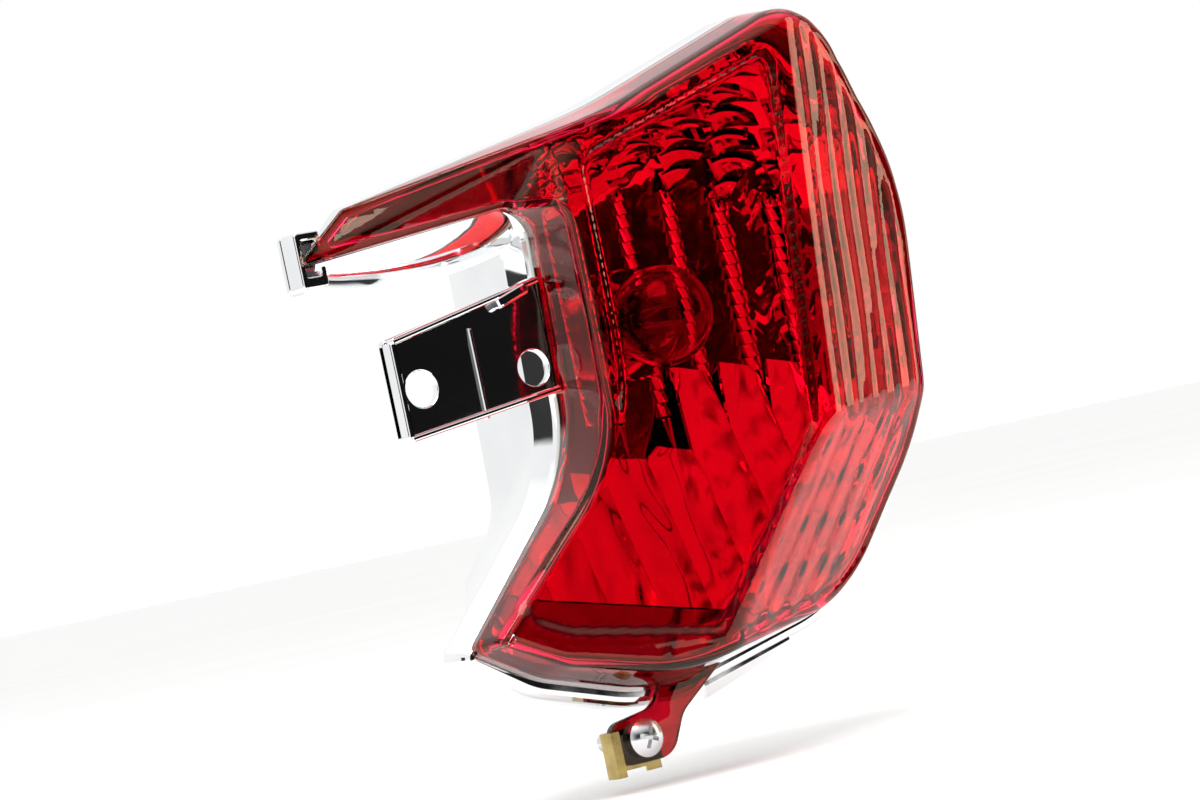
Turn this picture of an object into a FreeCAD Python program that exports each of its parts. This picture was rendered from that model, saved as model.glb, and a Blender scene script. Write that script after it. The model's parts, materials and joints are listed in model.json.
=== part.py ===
import FreeCAD, Part
import math
import os

# Handed motorcycle tail light, modelled in millimetres.
# X points outboard, Y forward into the vehicle, Z up. The origin is midway between the two holes
# of the mounting bracket, on the bracket's rear face, which is also the plane the lens sits on.

Vector = FreeCAD.Vector

# Driving dimensions
WALL = 2.4                 # wall of the lens and of the reflector housing
LENS_REACH = 34.0          # how far the lens mould runs to the rear before its facets are cut
RIM_DEPTH = 11.0           # depth of the housing's outer rim
BOWL_BACK = 42.0           # front face of the bowl's back wall
HOLE_SPACING = 31.2        # between the bracket's two holes
HOLE_RADIUS = 4.3
BRACKET_PLATE = 2.5        # thickness of the bracket's floor
BRACKET_RIM = 3.5          # how far the bracket's rim stands to the rear
BULB_X = 60.0
BULB_Z = 7.0
BULB_RADIUS = 12.5         # glass envelope
BASE_RADIUS = 7.5          # 15 mm bayonet base
PUSH = 2.5                 # travel of the bulb against its contact spring
GAP = 0.3                  # clearance between pieces that move past each other
FIT = 0.08                 # radial clearance of a turning or sliding fit
SCREW_X = 22.0
SCREW_Z = -91.2
SCREW_RADIUS = 2.5
TAB_THICKNESS = 3.0
CLIP_SHEET = 0.8

# The lens outline at its seat: corner x, corner z, corner radius, anticlockwise seen from the rear.
LENS_OUTLINE = [
    (-18.5, -62.5, 2.5),     # lower inboard tip
    (-2.0, -72.5, 25.0),
    (30.0, -82.5, 50.0),
    (90.0, -70.0, 45.0),
    (121.0, -32.5, 50.0),
    (132.5, 30.0, 55.0),     # outboard side
    (108.0, 81.5, 21.0),     # top corner
    (44.0, 59.5, 150.0),
    (-27.0, 44.5, 4.0),
    (-42.5, 32.5, 1.2),      # wing tip
    (22.0, 39.0, 8.0),       # inner corner above the notch
    (19.5, -24.0, 40.0),     # notch
]
# How far each side of the outline leans inwards over LENS_REACH
LENS_DRAFT = [8.0, 8.0, 8.0, 4.0, 4.0, 4.0, 4.0, 4.0, 2.0, 1.5, 2.0, 2.0]

# Corner points that the lens's flat facets pass through: (x, y, z)
RIDGE_TOP = (95.8, -17.0, 68.8)
RIDGE_KINK = (78.2, -27.0, -26.1)
RIDGE_BOTTOM = (40.7, -22.0, -72.6)
WINDOW_CORNER = (25.3, -19.0, 35.4)
WING_RIDGE_OUTER = (-30.0, -2.5, 37.5)
WING_RIDGE_INNER = (22.2, -15.0, 50.5)
WINDOW_UPPER = [WINDOW_CORNER, RIDGE_KINK, RIDGE_TOP]
WINDOW_LOWER = [(19.3, -20.0, -11.0), (-14.0, -12.0, -57.5), RIDGE_BOTTOM]
SIDE_UPPER = [RIDGE_TOP, RIDGE_KINK, (131.0, -3.0, 15.0)]
SIDE_LOWER = [RIDGE_KINK, RIDGE_BOTTOM, (112.0, -3.0, -42.0)]
WING_UPPER = [WING_RIDGE_OUTER, WING_RIDGE_INNER, (-27.0, -0.5, 44.5)]
WING_LOWER = [(-41.0, -1.5, 32.6), (10.0, -3.0, 37.9), WING_RIDGE_INNER]
BODY_FACETS = [WINDOW_UPPER, WINDOW_LOWER, SIDE_UPPER, SIDE_LOWER, WING_UPPER]
WING_FACETS = [WING_UPPER, WING_LOWER]
WING_SPLIT_X = 21.5        # the wing begins inboard of this
WING_SPLIT_Z = 36.0
WING_OVERLAP_X = 40.0      # the wing's form runs on into the main body up to here
WING_DROP = 12.0           # how far the wing's underside lies below WING_SPLIT_Z
FAR = 200.0                # beyond every face of the lamp
SCREW_HOLE_CLEARANCE = 0.5
SEAL_DEPTH = 1.2
SEAL_OUTER_INSET = 0.7     # of the seal's two sides from the lens's edge
SEAL_INNER_INSET = 1.7

# Outline of the housing's rim, 3 mm proud of the lens along the bottom
RIM_OUTLINE = [
    (-20.5, -64.5, 3.0),
    (-3.0, -76.0, 25.0),
    (30.0, -86.0, 50.0),
    (91.0, -72.5, 45.0),
] + LENS_OUTLINE[4:]

# Outline of the bowl where it leaves the rim, and of its back wall; the same count of corners
BOWL_FRONT_OUTLINE = [
    (-16.0, -61.5, 5.0),
    (-1.0, -71.5, 20.0),
    (30.0, -80.0, 45.0),
    (88.0, -67.5, 45.0),
    (118.0, -32.0, 45.0),
    (129.0, 28.0, 50.0),
    (103.0, 73.0, 14.0),
    (22.5, 51.0, 10.0),
    (19.7, -24.0, 40.0),
]
BOWL_BACK_OUTLINE = [
    (6.0, -50.0, 5.0),
    (14.0, -54.0, 8.0),
    (36.0, -56.0, 12.0),
    (66.0, -50.0, 14.0),
    (84.0, -28.0, 14.0),
    (90.0, 18.0, 14.0),
    (82.0, 44.0, 10.0),
    (22.5, 40.0, 10.0),
    (20.5, -33.0, 20.0),
]

# The hollow arm below and behind the wing
ARM_OUTLINE = [
    (-38.0, 27.5, 2.5),
    (-8.0, 25.0, 30.0),
    (22.5, 29.5, 2.0),
    (25.0, 46.0, 3.0),
    (-24.0, 43.0, 4.0),
    (-38.5, 35.5, 2.5),
]
ARM_START = 2.5
ARM_END = 17.0

# The bracket's floor, and the tab that carries the screw at the foot of the lens
BRACKET_OUTLINE = [
    (-23.5, -12.0, 1.5),
    (21.0, -6.8, 0.5),
    (21.0, 21.3, 0.5),
    (-23.5, 12.6, 1.5),
]
TAB_OUTLINE = [
    (52.0, -75.5, 1.0),
    (33.0, -75.0, 1.0),
    (27.0, -84.5, 5.0),
    (13.6, -86.5, 3.5),
    (13.6, -97.0, 5.0),
    (30.0, -97.0, 6.5),
    (35.0, -87.5, 8.0),
]


def rounded_wire(corners, y):
    """A closed wire in the plane at depth y: straight sides joined by an arc at each corner."""
    count = len(corners)
    arcs = []
    for index, (x, z, radius) in enumerate(corners):
        before_x, before_z, _ = corners[index - 1]
        after_x, after_z, _ = corners[(index + 1) % count]
        corner = Vector(x, y, z)
        to_before = (Vector(before_x, y, before_z) - corner).normalize()
        to_after = (Vector(after_x, y, after_z) - corner).normalize()
        half_angle = to_before.getAngle(to_after) / 2
        reach = radius / math.tan(half_angle)
        depth = radius / math.sin(half_angle) - radius
        inwards = (to_before + to_after).normalize()
        arcs.append((corner + to_before * reach, corner + inwards * depth, corner + to_after * reach))
    edges = []
    for index, (start, middle, end) in enumerate(arcs):
        edges.append(Part.Arc(start, middle, end).toShape())
        edges.append(Part.LineSegment(end, arcs[(index + 1) % count][0]).toShape())
    return Part.Wire(edges)


def inset_corners(corners, insets):
    """Move each side of an outline inwards by its own inset; side i starts at corner i."""
    count = len(corners)
    moved = []
    for index, (x, z, radius) in enumerate(corners):
        before_x, before_z, _ = corners[index - 1]
        after_x, after_z, _ = corners[(index + 1) % count]
        arriving = Vector(x - before_x, 0, z - before_z).normalize()
        leaving = Vector(after_x - x, 0, after_z - z).normalize()
        turn = arriving.x * leaving.z - arriving.z * leaving.x
        shift = (leaving * insets[index - 1] - arriving * insets[index]) * (1 / turn)
        mean_inset = (insets[index - 1] + insets[index]) / 2
        if turn > 0:
            new_radius = max(radius - mean_inset, min(radius, 0.8))
        else:
            new_radius = radius + mean_inset
        moved.append((x + shift.x, z + shift.z, new_radius))
    return moved


def even_inset(corners, inset):
    return inset_corners(corners, [inset] * len(corners))


def prism(corners, start_y, end_y):
    return Part.Face(rounded_wire(corners, start_y)).extrude(Vector(0, end_y - start_y, 0))


def tapered(corners_start, start_y, corners_end, end_y):
    wires = [rounded_wire(corners_start, start_y), rounded_wire(corners_end, end_y)]
    return Part.makeLoft(wires, True, True)


def box(low, high):
    size = Vector(*high) - Vector(*low)
    return Part.makeBox(size.x, size.y, size.z, Vector(*low))


def rod(radius, start_y, end_y, x, z):
    return Part.makeCylinder(radius, end_y - start_y, Vector(x, start_y, z), Vector(0, 1, 0))


def tube(outer, inner, start_y, end_y, x, z):
    return rod(outer, start_y, end_y, x, z).cut(rod(inner, start_y, end_y, x, z))


def revolved(profile, x, z):
    """Turn a closed profile of (radius, y) points about the line along Y through x, z."""
    points = [Vector(x + radius, y, z) for radius, y in profile]
    face = Part.Face(Part.makePolygon(points + points[:1]))
    return face.revolve(Vector(x, 0, z), Vector(0, 1, 0), 360)


def turned(shape, degrees, x=BULB_X, z=BULB_Z):
    """A copy of the shape turned about the line along Y through x, z."""
    copy = shape.copy()
    copy.rotate(Vector(x, 0, z), Vector(0, 1, 0), degrees)
    return copy


def rear_of_facet(points, depth):
    """A block filling everything to the rear of the plane that lies depth inside a facet."""
    reach = 2 * FAR
    first, second, third = [Vector(*point) for point in points]
    rearwards = (second - first).cross(third - first).normalize()
    if rearwards.y > 0:
        rearwards = rearwards * -1
    circle = Part.makeCircle(reach, first - rearwards * depth, rearwards)
    return Part.Face(Part.Wire(circle)).extrude(rearwards * reach)


def cut_facets(form, facets, depth):
    for points in facets:
        form = form.cut(rear_of_facet(points, depth))
    return form


# ---- lens ----

def lens_form(depth):
    """The solid form of the lens, or of its hollow when depth is the wall thickness."""
    seat = even_inset(LENS_OUTLINE, depth)
    mould = tapered(seat, 0, inset_corners(seat, LENS_DRAFT), -LENS_REACH)
    low = -FAR
    high = FAR
    corner = box((low, low, WING_SPLIT_Z), (WING_SPLIT_X + depth, high, high))
    main_form = cut_facets(mould.cut(corner), BODY_FACETS, depth)
    wing_block = box((low, low, low), (WING_OVERLAP_X, high, high))
    below_wing = box((low, low, low), (high, high, WING_SPLIT_Z - WING_DROP))
    wing_form = cut_facets(mould.common(wing_block).cut(below_wing), WING_FACETS, depth)
    return main_form.fuse(wing_form).removeSplitter()


def make_lens():
    shell = lens_form(0).fuse(prism(TAB_OUTLINE, -TAB_THICKNESS, 0))
    shell = shell.cut(lens_form(WALL))
    hole = rod(SCREW_RADIUS + SCREW_HOLE_CLEARANCE, -TAB_THICKNESS, 0, SCREW_X, SCREW_Z)
    return shell.cut(hole).removeSplitter()


def make_lens_seal():
    outer = prism(even_inset(LENS_OUTLINE, SEAL_OUTER_INSET), 0, SEAL_DEPTH)
    return outer.cut(prism(even_inset(LENS_OUTLINE, SEAL_INNER_INSET), 0, SEAL_DEPTH))


# ---- reflector housing ----

HOLDER_HOLE_RADIUS = 13.2
BOSS_RADIUS = 19.0
BOSS_FACE = BOWL_BACK + 2.0
LUG_RADIUS = 16.0
LUG_WIDTH = 7.0
LUG_SLOT_EXTRA = 0.5       # room around a lug in its slot
TWIST = 40.0               # degrees from locked to free
LUG_ANGLES = [0.0, 120.0, 240.0]
OVERLAP = 0.5              # how far two fused forms run into each other

FLANGE_REACH = 3.5         # lip under the foot of the lens
FLANGE_BOX = [(44.0, 1.0, -90.0), (72.0, 4.0, -76.0)]
EAR_REACH = 2.5            # small lip on the outboard side
EAR_BOX = [(106.0, 2.0, -52.0), (125.0, 5.0, -35.5)]
WING_RIM_TRIM = [(-60.0, 3.0, 20.0), (-36.0, 20.0, 60.0)]    # the rim is shallow at the wing's end
END_CAP_BOX = [(-39.8, 1.5, 27.5), (-33.0, 10.5, 41.0)]
END_POCKET_BOX = [(-38.4, 1.5, 30.5), (-34.5, 8.0, 38.8)]

BRACKET_RIM_WIDTH = 1.6
BRACKET_INNER_RADIUS = 0.4
BRACKET_OPEN_END = 5.0     # the rim is left open where the bracket meets the housing
RIB_BOX = [(-0.6, -1.0, -10.0), (0.6, 0.0, 16.5)]
GUSSET_TIP = (-20.0, 12.0)      # x, z of the gusset's inboard end
GUSSET_ROOT = (20.5, 20.2)      # x, z of its top where it meets the housing
GUSSET_HEIGHT = 8.0


def radial_block(outer_radius, width, start_y, end_y, degrees):
    """A block from the bulb axis outwards, at an angle about it."""
    block = box((BULB_X, start_y, BULB_Z - width / 2), (BULB_X + outer_radius, end_y, BULB_Z + width / 2))
    return turned(block, degrees)


def make_gusset():
    """A three-sided web under the bracket's upper rim, highest where it meets the housing."""
    tip = Vector(GUSSET_TIP[0], 0, GUSSET_TIP[1])
    root = Vector(GUSSET_ROOT[0], 0, GUSSET_ROOT[1])
    foot = root - Vector(0, 0, GUSSET_HEIGHT)
    crest = root - Vector(0, BRACKET_RIM, 0)
    triangles = [(tip, root, foot), (tip, crest, foot), (tip, crest, root), (root, crest, foot)]
    faces = [Part.Face(Part.makePolygon([a, b, c, a])) for a, b, c in triangles]
    return Part.Solid(Part.Shell(faces))


def make_bracket():
    """The two-hole bracket: a floor with a rim on three sides, a middle rib and a corner gusset."""
    floor = prism(BRACKET_OUTLINE, 0, BRACKET_PLATE)
    side_insets = [BRACKET_RIM_WIDTH, -BRACKET_OPEN_END, BRACKET_RIM_WIDTH, BRACKET_RIM_WIDTH]
    inner = [(x, z, BRACKET_INNER_RADIUS) for x, z, _ in inset_corners(BRACKET_OUTLINE, side_insets)]
    rim = prism(BRACKET_OUTLINE, -BRACKET_RIM, 0).cut(prism(inner, -BRACKET_RIM, 0))
    raised = rim.fuse([box(*RIB_BOX), make_gusset()])
    raised = raised.cut(prism(even_inset(LENS_OUTLINE, -FIT), -BRACKET_RIM, 0))
    bracket = floor.fuse(raised)
    for x in (-HOLE_SPACING / 2, HOLE_SPACING / 2):
        bracket = bracket.cut(rod(HOLE_RADIUS, -BRACKET_RIM, BRACKET_PLATE, x, 0))
    return bracket


def edge_lip(reach, limits):
    """A lip that follows the rim's outline, standing reach beyond it, within a box."""
    low, high = limits
    return prism(even_inset(RIM_OUTLINE, -reach), low[1], high[1]).common(box(low, high))


def make_housing():
    rim = prism(RIM_OUTLINE, 0, RIM_DEPTH).cut(box(*WING_RIM_TRIM))
    bowl = tapered(BOWL_FRONT_OUTLINE, RIM_DEPTH - OVERLAP, BOWL_BACK_OUTLINE, BOWL_BACK)
    arm = prism(ARM_OUTLINE, ARM_START, ARM_END)
    boss = rod(BOSS_RADIUS, BOWL_BACK - WALL, BOSS_FACE, BULB_X, BULB_Z)
    lips = [edge_lip(FLANGE_REACH, FLANGE_BOX), edge_lip(EAR_REACH, EAR_BOX)]
    body = rim.fuse([bowl, arm, box(*END_CAP_BOX), boss] + lips)

    rim_hollow = prism(even_inset(LENS_OUTLINE, WALL), 0, RIM_DEPTH - WALL)
    bowl_hollow = tapered(
        even_inset(BOWL_FRONT_OUTLINE, WALL), RIM_DEPTH - WALL - OVERLAP,
        even_inset(BOWL_BACK_OUTLINE, WALL), BOWL_BACK - WALL)
    arm_hollow = prism(even_inset(ARM_OUTLINE, WALL), ARM_START + WALL, ARM_END - WALL)
    for hollow in (rim_hollow, bowl_hollow, arm_hollow, box(*END_POCKET_BOX)):
        body = body.cut(hollow)
    body = body.fuse(make_bracket())
    body = body.cut(rod(HOLDER_HOLE_RADIUS, BOWL_BACK - WALL, BOSS_FACE, BULB_X, BULB_Z))
    for angle in LUG_ANGLES:
        slot = radial_block(
            LUG_RADIUS + LUG_SLOT_EXTRA, LUG_WIDTH + 2 * LUG_SLOT_EXTRA,
            BOWL_BACK - WALL, BOSS_FACE, angle + TWIST)
        body = body.cut(slot)
    return body.cut(make_lens_seal()).removeSplitter()


# ---- bulb holder ----

LUG_DEPTH = 3.6
HOLDER_INNER_END = BOWL_BACK - WALL - LUG_DEPTH
HOLDER_OUTER_END = 62.0
HOLDER_FLANGE = 3.0
HUB_RADIUS = 14.5
GRIP_REACH = 18.0          # two finger ribs on the holder's outside
GRIP_WIDTH = 4.0
GRIP_ANGLES = [45.0, 225.0]
SOCKET_FLOOR = 58.0
SOCKET_STEP = 46.0         # the socket is wide enough for the bayonet pins up to here
SLEEVE_INNER = BASE_RADIUS + FIT
SLEEVE_OUTER = SLEEVE_INNER + 0.7
SLEEVE_START = 30.0
SLEEVE_END = 56.5
PIN_RADIUS = 1.0
PIN_REACH = 8.6
PIN_CLEARANCE = 0.6
PIN_PLACES = [(36.0, 90.0), (39.0, 270.0)]      # depth and angle of the two bayonet pins
PIN_TURN = 22.0            # degrees from a slot's mouth to its pocket
GASKET_GAP = 0.1
GASKET_START = BOSS_FACE + GASKET_GAP
GASKET_END = GASKET_START + 1.2
GASKET_INSET = 0.8
BLADE_THICKNESS = 0.8
BLADE_WIDTH = 4.8
BLADE_REACH = 10.0         # of each blade beyond the holder
BLADE_PLACES = {"tail_terminal": -4.5, "brake_terminal": 4.5}


def make_holder_body():
    neck = rod(HOLDER_HOLE_RADIUS - FIT, HOLDER_INNER_END, GASKET_END, BULB_X, BULB_Z)
    flange = rod(BOSS_RADIUS, GASKET_END, GASKET_END + HOLDER_FLANGE, BULB_X, BULB_Z)
    hub = rod(HUB_RADIUS, GASKET_END, HOLDER_OUTER_END, BULB_X, BULB_Z)
    holder = neck.fuse([flange, hub])
    for angle in LUG_ANGLES:
        lug = radial_block(LUG_RADIUS, LUG_WIDTH, HOLDER_INNER_END, BOWL_BACK - WALL - GAP, angle)
        holder = holder.fuse(lug)
    for angle in GRIP_ANGLES:
        grip = radial_block(GRIP_REACH, GRIP_WIDTH, GASKET_END, SOCKET_FLOOR, angle)
        holder = holder.fuse(grip)
    holder = holder.cut(rod(PIN_REACH + PIN_CLEARANCE, HOLDER_INNER_END, SOCKET_STEP, BULB_X, BULB_Z))
    holder = holder.cut(rod(SLEEVE_OUTER, SOCKET_STEP, SOCKET_FLOOR, BULB_X, BULB_Z))
    for x in BLADE_PLACES.values():
        holder = holder.cut(make_blade(BULB_X + x, BULB_Z, SOCKET_FLOOR, HOLDER_OUTER_END))
    return holder.cut(make_ground_terminal()).removeSplitter()


def make_holder_gasket():
    return tube(BOSS_RADIUS - GASKET_INSET, HOLDER_HOLE_RADIUS, GASKET_START, GASKET_END, BULB_X, BULB_Z)


def make_socket_sleeve():
    """The metal bayonet sleeve: each pin has a slot from the mouth and a pocket beside it."""
    sleeve = tube(SLEEVE_OUTER, SLEEVE_INNER, SLEEVE_START, SLEEVE_END, BULB_X, BULB_Z)
    slot_width = 2 * PIN_RADIUS + PIN_CLEARANCE
    for depth, angle in PIN_PLACES:
        pocket_start = depth - slot_width / 2
        passage_start = pocket_start + PUSH
        pocket_end = passage_start + slot_width
        stretches = [
            (SLEEVE_START, PIN_TURN),
            (passage_start, PIN_TURN / 2),
            (pocket_start, 0.0),
        ]
        for start, part_turn in stretches:
            sleeve = sleeve.cut(radial_block(PIN_REACH, slot_width, start, pocket_end, angle + part_turn))
    return sleeve


def make_blade(x, z, start_y, end_y):
    half_thickness = BLADE_THICKNESS / 2
    half_width = BLADE_WIDTH / 2
    return box((x - half_thickness, start_y, z - half_width), (x + half_thickness, end_y, z + half_width))


def make_terminal(offset_x):
    """A flat blade through the end wall of the holder."""
    return make_blade(BULB_X + offset_x, BULB_Z, SOCKET_FLOOR, HOLDER_OUTER_END + BLADE_REACH)


def make_ground_terminal():
    """The blade that touches the end of the sleeve and leaves beside the other two."""
    top = BULB_Z + SLEEVE_OUTER
    half_width = BLADE_WIDTH / 2
    return box((BULB_X - half_width, SLEEVE_END, top - BLADE_THICKNESS),
               (BULB_X + half_width, HOLDER_OUTER_END + BLADE_REACH, top))


# ---- contact plunger ----

CONTACT_TIP = 49.0         # end of the bulb's solder contacts
CONTACT_SPREAD = 3.2       # of each contact from the bulb axis
CARRIER_START = CONTACT_TIP + 1.2
CARRIER_END = CARRIER_START + 2.4
STUD_RADIUS = 1.3
STUD_HEAD_RADIUS = 2.0
STUD_HEAD_CHAMFER = 0.5
STUD_HEAD_GAP = 0.1        # between the bulb's solder contact and the stud's head
STUD_TAIL_RADIUS = 0.7
STUD_TAIL_LENGTH = 1.5
SPRING_WIRE_RADIUS = 0.4
SPRING_RADIUS = 6.0
SPRING_TURNS = 3


def make_contact_carrier():
    carrier = rod(SLEEVE_INNER - FIT, CARRIER_START, CARRIER_END, BULB_X, BULB_Z)
    for side in (-1, 1):
        hole = rod(STUD_RADIUS, CARRIER_START, CARRIER_END, BULB_X + side * CONTACT_SPREAD, BULB_Z)
        carrier = carrier.cut(hole)
    return carrier


def make_contact_stud(side):
    """A brass stud through the carrier, with a head towards the bulb and a tail for its lead."""
    head_start = CONTACT_TIP + STUD_HEAD_GAP
    tail_start = CARRIER_END + GAP
    tail_end = CARRIER_END + STUD_TAIL_LENGTH
    profile = [
        (0, head_start),
        (STUD_HEAD_RADIUS - STUD_HEAD_CHAMFER, head_start),
        (STUD_HEAD_RADIUS, head_start + STUD_HEAD_CHAMFER),
        (STUD_HEAD_RADIUS, CARRIER_START),
        (STUD_RADIUS, CARRIER_START),
        (STUD_RADIUS, CARRIER_END),
        (STUD_TAIL_RADIUS, tail_start),
        (STUD_TAIL_RADIUS, tail_end),
        (0, tail_end),
    ]
    return revolved(profile, BULB_X + side * CONTACT_SPREAD, BULB_Z)


def make_contact_spring():
    """A round-wire coil of half turns, each tilted the other way from the one before."""
    start_y = CARRIER_END + SPRING_WIRE_RADIUS
    rise = (SOCKET_FLOOR - CARRIER_END - 2 * SPRING_WIRE_RADIUS) / (2 * SPRING_TURNS)
    halves = []
    for index in range(2 * SPRING_TURNS):
        side = 1 if index % 2 == 0 else -1
        start = Vector(side * SPRING_RADIUS, start_y + index * rise, 0)
        centre = Vector(0, start.y + rise / 2, 0)
        axis = (centre - start).cross(Vector(0, 0, 1)) * side
        section = Part.Face(Part.Wire(Part.makeCircle(SPRING_WIRE_RADIUS, start, Vector(0, 0, 1))))
        halves.append(section.revolve(centre, axis, 180))
    spring = halves[0].fuse(halves[1:])
    spring.translate(Vector(BULB_X, 0, BULB_Z))
    return spring


# ---- bulb ----

BASE_START = 28.0          # rear edge of the metal base shell
BASE_END = 46.0
BASE_SHEET = 0.5
BASE_GRIP = 4.0            # how far the glass neck sits in the base
GLASS_CENTRE = 9.0
GLASS_WALL = 0.8
NECK_RADIUS = BASE_RADIUS - 0.7
THROAT_FLARE = 1.5         # the neck widens by this where it meets the ball
THROAT_LENGTH = 3.0
STEM_PROFILE = [(1.6, 18.0), (2.2, 24.0), (4.5, 28.0)]      # radius and depth of the glass mount
INSULATOR_DEPTH = 2.0
INSULATOR_STEP = 1.2
PIN_ROOT = 1.0             # how far each pin starts inside the base's outer face


def glass_form(inset):
    """A round envelope drawn in to a neck; inset by the glass wall it is the space inside."""
    radius = BULB_RADIUS - inset
    neck = NECK_RADIUS - inset
    flare = neck + THROAT_FLARE
    join_y = GLASS_CENTRE + math.sqrt(radius ** 2 - flare ** 2)
    neck_y = join_y + THROAT_LENGTH
    ball = Part.makeSphere(radius, Vector(BULB_X, GLASS_CENTRE, BULB_Z))
    throat = revolved([(0, join_y), (flare, join_y), (neck, neck_y), (0, neck_y)], BULB_X, BULB_Z)
    stem = rod(neck, neck_y, BASE_START + BASE_GRIP - inset, BULB_X, BULB_Z)
    return ball.fuse([throat, stem]).removeSplitter()


def make_bulb_glass():
    return glass_form(0).cut(glass_form(GLASS_WALL))


def make_bulb_stem():
    """The glass mount inside the neck that the lead wires are pinched into."""
    foot = BASE_START + BASE_GRIP - GLASS_WALL
    profile = [(0, STEM_PROFILE[0][1])] + STEM_PROFILE + [(STEM_PROFILE[-1][0], foot), (0, foot)]
    return revolved(profile, BULB_X, BULB_Z)


def make_bulb_base():
    inner = BASE_RADIUS - BASE_SHEET
    shell = tube(BASE_RADIUS, inner, BASE_START, BASE_END, BULB_X, BULB_Z)
    lip = tube(inner, NECK_RADIUS, BASE_START + BASE_SHEET, BASE_START + BASE_GRIP, BULB_X, BULB_Z)
    base = shell.fuse(lip)
    for depth, angle in PIN_PLACES:
        base = base.cut(make_bayonet_pin(depth, angle))
    return base


def make_bayonet_pin(depth, degrees):
    start = BASE_RADIUS - PIN_ROOT
    pin = Part.makeCylinder(
        PIN_RADIUS, PIN_REACH - start, Vector(BULB_X + start, depth, BULB_Z), Vector(1, 0, 0))
    return turned(pin, degrees)


def make_bayonet_pins():
    return Part.makeCompound([make_bayonet_pin(depth, angle) for depth, angle in PIN_PLACES])


def make_base_insulator():
    return rod(BASE_RADIUS - BASE_SHEET, BASE_END - INSULATOR_DEPTH, BASE_END + INSULATOR_STEP,
               BULB_X, BULB_Z)


def make_solder_contacts():
    """Two low domes of solder on the insulator."""
    foot = BASE_END + INSULATOR_STEP
    height = CONTACT_TIP - foot
    dome = [(0, 0.0), (2.0, 0.0), (1.5, 0.7), (0.8, 1.0), (0, 1.0)]
    profile = [(radius, foot + share * height) for radius, share in dome]
    contacts = [revolved(profile, BULB_X + side * CONTACT_SPREAD, BULB_Z) for side in (-1, 1)]
    return Part.makeCompound(contacts)


TAIL_FILAMENT = (6.0, BULB_Z + 2.0)          # depth and height of each filament
BRAKE_FILAMENT = (10.0, BULB_Z - 2.0)
FILAMENT_HALF_LENGTH = 3.0
FILAMENT_RADIUS = 0.5
SUPPORT_RADIUS = 0.3
SUPPORT_KNEE = 13.0        # depth where each support bends in towards the mount
SUPPORT_FOOT = 18.0
SUPPORT_FOOT_X = 0.8
SUPPORT_FOOT_SHARE = 0.35  # of the filament's height above the axis, at the mount


def make_filament(place):
    depth, z = place
    half = FILAMENT_HALF_LENGTH - SUPPORT_RADIUS
    return Part.makeCylinder(FILAMENT_RADIUS, 2 * half, Vector(BULB_X - half, depth, z), Vector(1, 0, 0))


def make_filament_supports():
    """Two straight wires for each filament, from the glass mount up to its ends."""
    wires = []
    for depth, z in (TAIL_FILAMENT, BRAKE_FILAMENT):
        for side in (-1, 1):
            end_x = BULB_X + side * FILAMENT_HALF_LENGTH
            top = Vector(end_x, depth - FILAMENT_RADIUS, z)
            knee = Vector(end_x, SUPPORT_KNEE, z)
            foot_z = BULB_Z + (z - BULB_Z) * SUPPORT_FOOT_SHARE
            foot = Vector(BULB_X + side * SUPPORT_FOOT_X, SUPPORT_FOOT, foot_z)
            upper = Part.makeCylinder(SUPPORT_RADIUS, (knee - top).Length, top, knee - top)
            lower = Part.makeCylinder(SUPPORT_RADIUS, (foot - knee).Length, knee, foot - knee)
            joint = Part.makeSphere(SUPPORT_RADIUS, knee)
            wires.append(upper.fuse([joint, lower]).cut(make_bulb_stem()))
    return Part.makeCompound(wires)


# ---- screw and clip nut at the foot of the lens ----

CLIP_INBOARD = -8.6        # inner face of the clip's flange, from the screw
CLIP_OUTBOARD = 5.5
CLIP_BOTTOM = -8.0
CLIP_TOP = 3.0
CLIP_HOOK = 1.6            # the lip that laps over the rear of the tab
CLIP_NOTCH = [(-6.5, -8.0), (1.5, -6.8)]      # low and high corner, x and z from the screw
BARREL_RADIUS = 3.9
BARREL_HEIGHT = 4.0
HEAD_HEIGHT = 3.4
HEAD_RADIUS = 4.6
HEAD_CROWN = 7.0           # radius of the pan head's crown
RECESS_HALF_LENGTH = 2.6
RECESS_HALF_WIDTH = 0.5
RECESS_DEPTH = 1.8
RECESS_ANGLES = [20.0, 110.0]
SCREW_LENGTH = 18.0
SCREW_POINT = 1.0


def clip_box(low_x, low_y, low_z, high_x, high_y, high_z):
    """A box measured from the screw axis."""
    return box((SCREW_X + low_x, low_y, SCREW_Z + low_z), (SCREW_X + high_x, high_y, SCREW_Z + high_z))


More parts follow.
